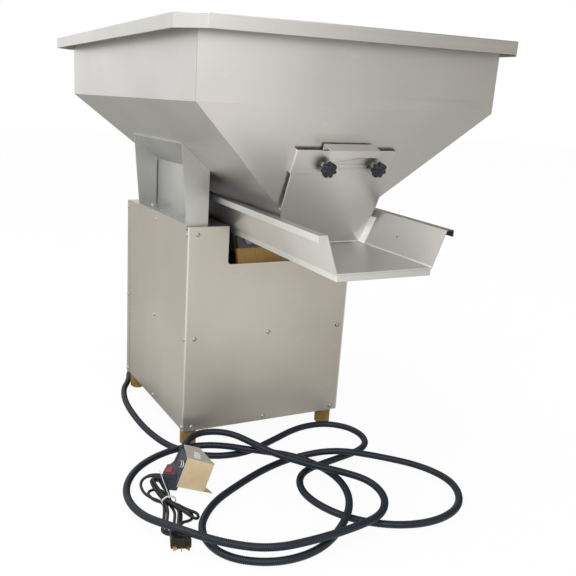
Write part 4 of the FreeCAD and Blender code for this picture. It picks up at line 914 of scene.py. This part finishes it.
class FEEDER_OT_mains_lead(bpy.types.Operator):
    """Wind the mains lead from its gland through the tied hank to the plug"""

    bl_idname = "feeder.mains_lead"
    bl_label = "Mains lead"

    def execute(self, context):
        s = sizes()
        lead = curve_object("mains_cord", LEAD_ROUTE + hank_turns() + TAIL_ROUTE)
        path = line_points(lead)
        lead.data.bevel_depth = s.lead_width / 2
        lead.data.bevel_resolution = 4
        lead.data.use_fill_caps = True
        dress(lead, "lead")
        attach(lead, "frame")
        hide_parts("mains_lead", "mains_hank", "mains_tail")
        pieces = [self.sleeve("gland_sleeve", path), self.sleeve("plug_sleeve", path[::-1]),
                  self.wire("tie_tail", TIE_TAIL), self.wire("tie_knot", TIE_KNOT)]
        return {"FINISHED"}

    def sleeve(self, name, path):
        """A strain-relief sleeve that tapers to the lead's width, with shallow grooves."""
        s = sizes()
        points = part_of(path, s.sleeve_length)
        last = len(points) - 1
        thin = s.lead_width / 2 + s.sleeve_wall
        grooves = [s.sleeve_groove if k % 3 == 2 else 0.0 for k in range(last + 1)]
        taper = s.sleeve_width / 2 - thin
        radii = [thin + taper * (1 - k / last) - groove for k, groove in enumerate(grooves)]
        bm = bmesh.new()
        tube_along(bm, points, radii)
        return piece_from(name, mesh_from(bm, name), "lead", "frame")

    def wire(self, name, points):
        """A length of the tie's wire."""
        line = curve_object(name + "_line", points)
        path = line_points(line)
        bpy.data.objects.remove(line)
        bm = bmesh.new()
        tube_along(bm, path, [sizes().wire_width / 2] * len(path), sides=8)
        return piece_from(name, mesh_from(bm, name), "tie", "frame")


def clusters(name, reach):
    """Groups of a CAD node's points that lie close together, such as the separate screws of one node."""
    obj = NODES[name]
    groups = []
    for vertex in obj.data.vertices:
        spot = obj.matrix_world @ vertex.co
        near = next((group for group in groups if (group[0] - spot).length < reach), None)
        if near:
            near.append(spot)
        else:
            groups.append([spot])
    return groups


class FEEDER_OT_screws(bpy.types.Operator):
    """Set a domed, cross-recessed screw in each place of the panel screws"""

    bl_idname = "feeder.screws"
    bl_label = "Panel screws"

    def execute(self, context):
        faces = []
        for node, axis, sign in (("front_panel", 1, -1), ("rear_panel", 1, 1), ("left_panel", 0, -1),
                                 ("right_panel", 0, 1)):
            low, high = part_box(node)
            faces.append((axis, sign, (high if sign > 0 else low)[axis]))
        spots, ways = [], []
        for points in clusters("panel_screws", SCREW_REACH):
            low = [min(p[k] for p in points) for k in range(3)]
            high = [max(p[k] for p in points) for k in range(3)]
            proud = {(axis, sign): sign * ((high if sign > 0 else low)[axis] - face)
                     for axis, sign, face in faces}
            axis, sign = max(proud, key=proud.get)
            spot = (Vector(low) + Vector(high)) / 2
            spot[axis] = (high if sign > 0 else low)[axis] - sign * sizes().screw_height
            spots.append(spot)
            ways.append(Vector([sign if k == axis else 0 for k in range(3)]))
        mesh = bpy.data.meshes.new("screw_places")
        mesh.from_pydata(spots, [], [])
        facing = mesh.attributes.new("facing", "FLOAT_VECTOR", "POINT")
        for item, way in zip(facing.data, ways):
            item.vector = way
        shape = linked("screw_shape", self.screw())
        tree = geometry_tree("Shape on points", {"Shape": ("Object", None)}, shape_on_points)
        screws = grown(linked("screw_places", mesh), tree, "domed_screws", Shape=shape,
                       Material=FINISH["bolt"])
        bpy.data.objects.remove(shape)
        piece = piece_from("domed_screws", screws, "bolt", "frame")
        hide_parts("panel_screws")
        return {"FINISHED"}

    def screw(self):
        """One screw about the origin, its head up, with the dome's points on the cross pushed down."""
        s = sizes()
        radius, height = s.screw_head / 2, s.screw_height
        shank, depth = s.screw_shank[0] / 2, s.screw_shank[1]
        bm = bmesh.new()
        turned(bm, [(0, -depth), (shank, -depth), (shank, 0.0)] + profile_of(SCREW_DOME, radius, height),
               Matrix.Identity(4))
        for vertex in bm.verts:
            flat = vertex.co.xy
            on_cross = min(abs(flat.x), abs(flat.y)) < CROSS_HALF * radius
            if on_cross and vertex.co.z > height / 2 and flat.length < CROSS_REACH * radius:
                vertex.co.z -= CROSS_DEPTH * height
        return mesh_from(bm, "screw_shape", smooth_below=30)


class FEEDER_OT_welds(bpy.types.Operator):
    """Lay weld beads in the brackets' corners and along the feet of the gate's bar"""

    bl_idname = "feeder.welds"
    bl_label = "Weld beads"

    def execute(self, context):
        seams = [(place(a), place(b)) for a, b in BRACKET_SEAMS]
        seams += [tuple(Vector((-p.x, p.y, p.z)) for p in seam) for seam in seams]
        seams += self.bar_seams()
        mesh = bpy.data.meshes.new("seams")
        ends = [p for seam in seams for p in seam]
        mesh.from_pydata(ends, [(k, k + 1) for k in range(0, len(ends), 2)], [])
        tree = geometry_tree("Weld bead", {"Width": ("Float", 0.003), "Pitch": ("Float", 0.0015)}, weld_drops)
        beads = grown(linked("seams", mesh), tree, "weld_beads", Width=sizes().bead_width,
                      Pitch=sizes().bead_pitch, Material=FINISH["bead"])
        beads.shade_smooth()
        piece_from("weld_beads", beads, "bead", "frame")
        return {"FINISHED"}

    def bar_seams(self):
        """The seams where the two feet of the gate's bar meet the front slope."""
        bar = NODES["gate_bar"]
        points = [bar.matrix_world @ v.co for v in bar.data.vertices]
        seams = []
        for side in (-1, 1):
            edge = max(side * p.x for p in points)
            foot = [p for p in points if side * p.x > edge - FOOT_DEPTH]
            top = max(foot, key=lambda p: p.y + FOOT_LEAN * p.z)
            low = max(foot, key=lambda p: p.y - FOOT_LEAN * p.z)
            seams.append((top, low))
        return seams


class FEEDER_OT_clamp_knobs(bpy.types.Operator):
    """Turn the lobed clamp knobs with their hubs and studs"""

    bl_idname = "feeder.clamp_knobs"
    bl_label = "Clamp knobs"

    def execute(self, context):
        s = sizes()
        up = JOINTS["gate_lift"]["axis"]
        for side in ("left", "right"):
            joint = JOINTS[side + "_knob_turn"]
            out = joint["axis"] if joint["axis"][1] < 0 else [-a for a in joint["axis"]]
            matrix = upright_on(joint["pos_m"], out, up)
            bm = bmesh.new()
            turned(bm, profile_of(KNOB_LEVELS, s.knob_width / 2, s.knob_height), matrix, LOBE_STEPS * s.lobes,
                   self.outline)
            hub, deep = s.hub_size[0] / 2, s.hub_size[1]
            turned(bm, [(0, -deep), (0.92 * hub, -deep), (hub, -0.8 * deep), (hub, HUB_OVERLAP),
                        (0, HUB_OVERLAP)], matrix)
            mesh = mesh_from(bm, side + "_lobed_knob", smooth_below=50)
            knob = piece_from(side + "_lobed_knob", mesh, "knob", "knob_" + side)
            stud = piece_from(side + "_knob_stud", self.stud(matrix, side), "bolt",
                              "knob_" + side)
            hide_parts(side + "_knob")
            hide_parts(side + "_knob")
        return {"FINISHED"}

    def outline(self, turn):
        """The lobed outline at an angle, as a share of the knob's radius; one lobe points up."""
        s = sizes()
        step = math.tau / s.lobes
        off = (turn - math.pi / 2 + step / 2) % step - step / 2
        lobe = s.lobe_width / 2
        ring = s.knob_width / 2 - lobe
        side = ring * math.sin(off)
        valley = LOBE_VALLEY * ring
        reach = ring * math.cos(off) + math.sqrt(lobe * lobe - side * side) if abs(side) < lobe else 0.0
        return (valley + math.hypot(max(reach - valley, 0.0), s.lobe_soft)) / (s.knob_width / 2)

    def stud(self, matrix, side):
        """The threaded stud behind the hub."""
        s = sizes()
        radius, length = s.stud_size[0] / 2, s.stud_size[1]
        profile = [(0, -length), (STUD_END * radius, -length)]
        for k in range(s.threads):
            z = -length + (k + 0.5) * length / s.threads
            profile += [(radius, z), (STUD_ROOT * radius, z + 0.5 * length / s.threads)]
        bm = bmesh.new()
        turned(bm, profile + [(0, 0.0)], matrix, steps=16)
        return mesh_from(bm, side + "_knob_stud", smooth_below=20)


class FEEDER_OT_control_fittings(bpy.types.Operator):
    """Fit the ringed speed dial and the blank label to the control"""

    bl_idname = "feeder.control_fittings"
    bl_label = "Control fittings"

    def execute(self, context):
        dial = JOINTS["speed_knob_turn"]
        matrix = upright_on(dial["pos_m"], dial["axis"], -Vector(MOUNTS["control_ear_hole"]["axis"]))
        radius, height = sizes().dial_size[0] / 2, sizes().dial_size[1]
        for name, finish, profiles in (("dial_grip", "dial", [DIAL_GRIP]),
                                       ("dial_rings", "tie", [ring + ring[:1] for ring in DIAL_RINGS])):
            bm = bmesh.new()
            for profile in profiles:
                turned(bm, profile_of(profile, radius, height), matrix, steps=32)
            piece = piece_from(name, mesh_from(bm, name), finish, "dial")
            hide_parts("speed_knob")
        self.label(matrix)
        return {"FINISHED"}

    def label(self, dial):
        """A blank label on the control's top flange, set out from the dial."""
        s = sizes()
        width, length, thick = s.label_size
        along, up, across = dial.to_3x3().col
        back, aside, rise = s.label_place
        centre = dial.translation - across * back - along * aside + up * rise
        one = math.cos(s.label_turn) * along + math.sin(s.label_turn) * across
        two = math.cos(s.label_turn) * across - math.sin(s.label_turn) * along
        bm = bmesh.new()
        low, high = [], []
        for a, b in ((-1, -1), (1, -1), (1, 1), (-1, 1)):
            corner = centre + one * (a * length / 2) + two * (b * width / 2)
            low.append(bm.verts.new(corner))
            high.append(bm.verts.new(corner + up * thick))
        bm.faces.new(low)
        bm.faces.new(high)
        join_rings(bm, [low, high])
        piece_from("blank_label", mesh_from(bm, "blank_label"), "tie", "frame")


# The finish of each CAD node, and those whose edges are eased
NODE_FINISH = {
    "hopper": ["hopper_rim", "hopper_front_sheet", "hopper_rear_sheet", "hopper_left_sheet",
               "hopper_right_sheet", "gate_bar", "gate_plate"],
    "cabinet": ["front_panel", "rear_panel", "left_panel", "right_panel", "base_plate", "deck_plate",
                "mid_rails", "post_front_left", "post_front_right", "post_rear_left", "post_rear_right"],
    "bracket": ["left_bracket", "right_bracket"],
    "trough": ["trough", "trough_pan"],
    "bolt": ["gate_nuts", "bracket_bolts", "foot_bolts", "base_clamp_bolts", "tray_clamp_bolts",
             "panel_screws"],
    "iron": ["vibrator_base", "tray_bracket", "base_clamp_bars", "tray_clamp_bars", "drive_pillars",
             "magnet_core", "armature"],
    "coil": ["magnet_coil"],
    "laminate": ["front_leaf_springs", "rear_leaf_springs"],
    "amber": ["foot_front_left", "foot_front_right", "foot_rear_left", "foot_rear_right"],
    "knob": ["left_knob", "right_knob", "isolators"],
    "dial": ["speed_knob"],
    "housing": ["control_body", "box_gland", "lead_gland", "rear_gland"],
    "slate": ["switch_box"],
    "control": ["control_bracket"],
    "rocker": ["power_rocker"],
    "tie": ["hank_tie"],
    "brass": ["plug_pins"],
    "hose": ["conduit"],
    "lead": ["mains_lead", "mains_hank", "mains_tail", "plug_body"],
}
SHEET_FINISHES = ["hopper", "bracket", "trough", "control"]
CAST_NODES = ["control_body", "switch_box", "power_rocker"]


class FEEDER_OT_steelwork(bpy.types.Operator):
    """Give each CAD node its finish and ease its edges"""

    bl_idname = "feeder.steelwork"
    bl_label = "Steelwork"

    def execute(self, context):
        for finish, names in NODE_FINISH.items():
            for name in names:
                dress(NODES[name], finish)
                if finish in SHEET_FINISHES:
                    ease_edges(name, sizes().edge_round)
        for name in CAST_NODES:
            ease_edges(name, sizes().cast_round)
        ease_edges("plug_body", sizes().plug_round, segments=4)
        return {"FINISHED"}


class FEEDER_OT_stage(bpy.types.Operator):
    """Set up the camera, the floor, the lamps and the world"""

    bl_idname = "feeder.stage"
    bl_label = "Stage"

    def execute(self, context):
        context.scene.view_settings.view_transform = "Standard"
        stage = context.scene.feeder_stage
        self.make_camera(context, stage)
        self.make_floor(stage)
        self.make_world(context)
        for key, (spot, size) in LAMPS.items():
            self.make_lamp(key + "_lamp", spot, size, getattr(stage, key + "_power"))
        return {"FINISHED"}

    def make_camera(self, context, stage):
        azimuth, elevation, roll = stage.azimuth, stage.elevation, stage.roll
        back = Vector((math.sin(azimuth) * math.cos(elevation), -math.cos(azimuth) * math.cos(elevation),
                       math.sin(elevation)))
        level = Vector((math.cos(azimuth), math.sin(azimuth), 0))
        up = back.cross(level)
        right = math.cos(roll) * level + math.sin(roll) * up
        over = math.cos(roll) * up - math.sin(roll) * level
        data = bpy.data.cameras.new("camera")
        data.sensor_width = SENSOR_WIDTH
        data.lens = stage.lens
        data.shift_x = 0.5 - stage.axis_pixel[0] / PHOTO_SIDE
        data.shift_y = stage.axis_pixel[1] / PHOTO_SIDE - 0.5
        data.clip_start = CLIP_START
        camera = linked("camera", data)
        turn = Matrix((right, over, back)).transposed().to_4x4()
        camera.matrix_world = Matrix.Translation(stage.camera_place) @ turn
        context.scene.camera = camera

    def make_floor(self, stage):
        """A floor that the camera sees nearly white, with shadows, and that the metal sees in a painted tone with
        a painted shadow near the feeder.
        """
        bm = bmesh.new()
        bmesh.ops.create_grid(bm, x_segments=1, y_segments=1, size=stage.floor_size)
        mesh = bpy.data.meshes.new("floor")
        bm.to_mesh(mesh)
        bm.free()
        floor = linked("floor", mesh)
        material = bpy.data.materials.new("Pale floor")
        material.use_nodes = True
        tree = material.node_tree
        shader = tree.nodes["Principled BSDF"]
        shader.inputs["Base Color"].default_value = (*stage.floor, 1.0)
        shader.inputs["Roughness"].default_value = FLOOR_ROUGHNESS
        path = new_node(tree, "ShaderNodeLightPath").outputs
        # Painted reflection: the tone the metal sees in the floor, with a painted shadow close to the feeder
        warm = mixed(tree, self.floor_tone(tree), BLACK, FLOOR_WARM)
        tone = mixed(tree, path["Is Glossy Ray"], WHITE, warm)
        glow = new_node(tree, "ShaderNodeEmission", {"Color": tone})
        direct = calc(tree, "MAXIMUM", path["Is Camera Ray"], path["Is Transmission Ray"])
        share = calc(tree, "MAXIMUM", product(tree, direct, FLOOR_GLOW), path["Is Glossy Ray"])
        both = new_node(tree, "ShaderNodeMixShader", {
            "Fac": share, 1: shader.outputs["BSDF"], 2: glow.outputs["Emission"]})
        tree.links.new(both.outputs["Shader"], tree.nodes["Material Output"].inputs["Surface"])
        mesh.materials.append(material)

    def floor_tone(self, tree):
        """How pale the floor looks in the metal, a painted reflection: less at the right and at the back, and a
        painted shadow close to the feeder.
        """
        where = coords(tree)
        away = new_node(tree, "ShaderNodeVectorMath", {0: where}, operation="LENGTH").outputs["Value"]
        way = new_node(tree, "ShaderNodeVectorMath", {0: where}, operation="NORMALIZE").outputs["Vector"]
        x, y, _ = axes(tree, way)
        right, rear = spread(tree, x, *TONE_RIGHT), spread(tree, y, *TONE_REAR)
        near = product(tree, spread(tree, away, *PAINTED_SHADOW_NEAR), calc(tree, "SUBTRACT", 1.0, right))
        losses = ((right, LOSS_RIGHT), (rear, LOSS_REAR), (near, PAINTED_SHADOW_LOSS))
        kept = [calc(tree, "SUBTRACT", 1.0, product(tree, share, loss)) for share, loss in losses]
        return product(tree, *kept)

    def make_world(self, context):
        """A white sky that the metal sees darker at the right."""
        world = bpy.data.worlds.new("studio")
        world.use_nodes = True
        tree = world.node_tree
        right = spread(tree, axes(tree, coords(tree, "Generated"))[0], *SKY_TURN)
        path = new_node(tree, "ShaderNodeLightPath").outputs
        tone = mixed(tree, path["Is Camera Ray"], mixed(tree, right, WHITE, SKY_RIGHT), WHITE)
        feed(tree, tree.nodes["Background"].inputs["Color"], tone)
        context.scene.world = world

    def make_lamp(self, name, spot, size, power):
        data = bpy.data.lights.new(name, "AREA")
        data.shape = "DISK"
        data.size = size
        data.energy = power
        lamp = linked(name, data)
        lamp.location = spot
        lamp.rotation_euler = (Vector(LAMP_AIM) - Vector(spot)).to_track_quat("-Z", "Y").to_euler()


class FEEDER_PT_panel(bpy.types.Panel):
    """The feeder's steps, sizes and colours"""

    bl_label = "Vibrating feeder"
    bl_idname = "FEEDER_PT_panel"
    bl_space_type = "VIEW_3D"
    bl_region_type = "UI"
    bl_category = "Feeder"

    def draw(self, context):
        for operator in OPERATORS:
            self.layout.operator(operator.bl_idname)
        for group in (context.scene.feeder_sizes, context.scene.feeder_colours, context.scene.feeder_stage):
            for name in group.bl_rna.properties.keys():
                if name not in {"rna_type", "name"}:
                    self.layout.prop(group, name)


GROUP_CLASSES = (FeederSizes, FeederColours, FeederStage)
OPERATORS = (FEEDER_OT_finishes, FEEDER_OT_stage, FEEDER_OT_steelwork, FEEDER_OT_screws, FEEDER_OT_welds,
             FEEDER_OT_clamp_knobs, FEEDER_OT_control_fittings, FEEDER_OT_conduit, FEEDER_OT_mains_lead)


def register():
    for item in (*GROUP_CLASSES, *OPERATORS, FEEDER_PT_panel):
        bpy.utils.register_class(item)
    bpy.types.Scene.feeder_sizes = PointerProperty(type=FeederSizes)
    bpy.types.Scene.feeder_colours = PointerProperty(type=FeederColours)
    bpy.types.Scene.feeder_stage = PointerProperty(type=FeederStage)


def unregister():
    del bpy.types.Scene.feeder_stage
    del bpy.types.Scene.feeder_colours
    del bpy.types.Scene.feeder_sizes
    for item in reversed((*GROUP_CLASSES, *OPERATORS, FEEDER_PT_panel)):
        bpy.utils.unregister_class(item)


def main():
    register()
    bpy.ops.feeder.finishes()
    bpy.ops.feeder.stage()
    bpy.ops.feeder.steelwork()
    bpy.ops.feeder.screws()
    bpy.ops.feeder.welds()
    bpy.ops.feeder.clamp_knobs()
    bpy.ops.feeder.control_fittings()
    bpy.ops.feeder.conduit()
    bpy.ops.feeder.mains_lead()


if __name__ == "__main__":
    main()
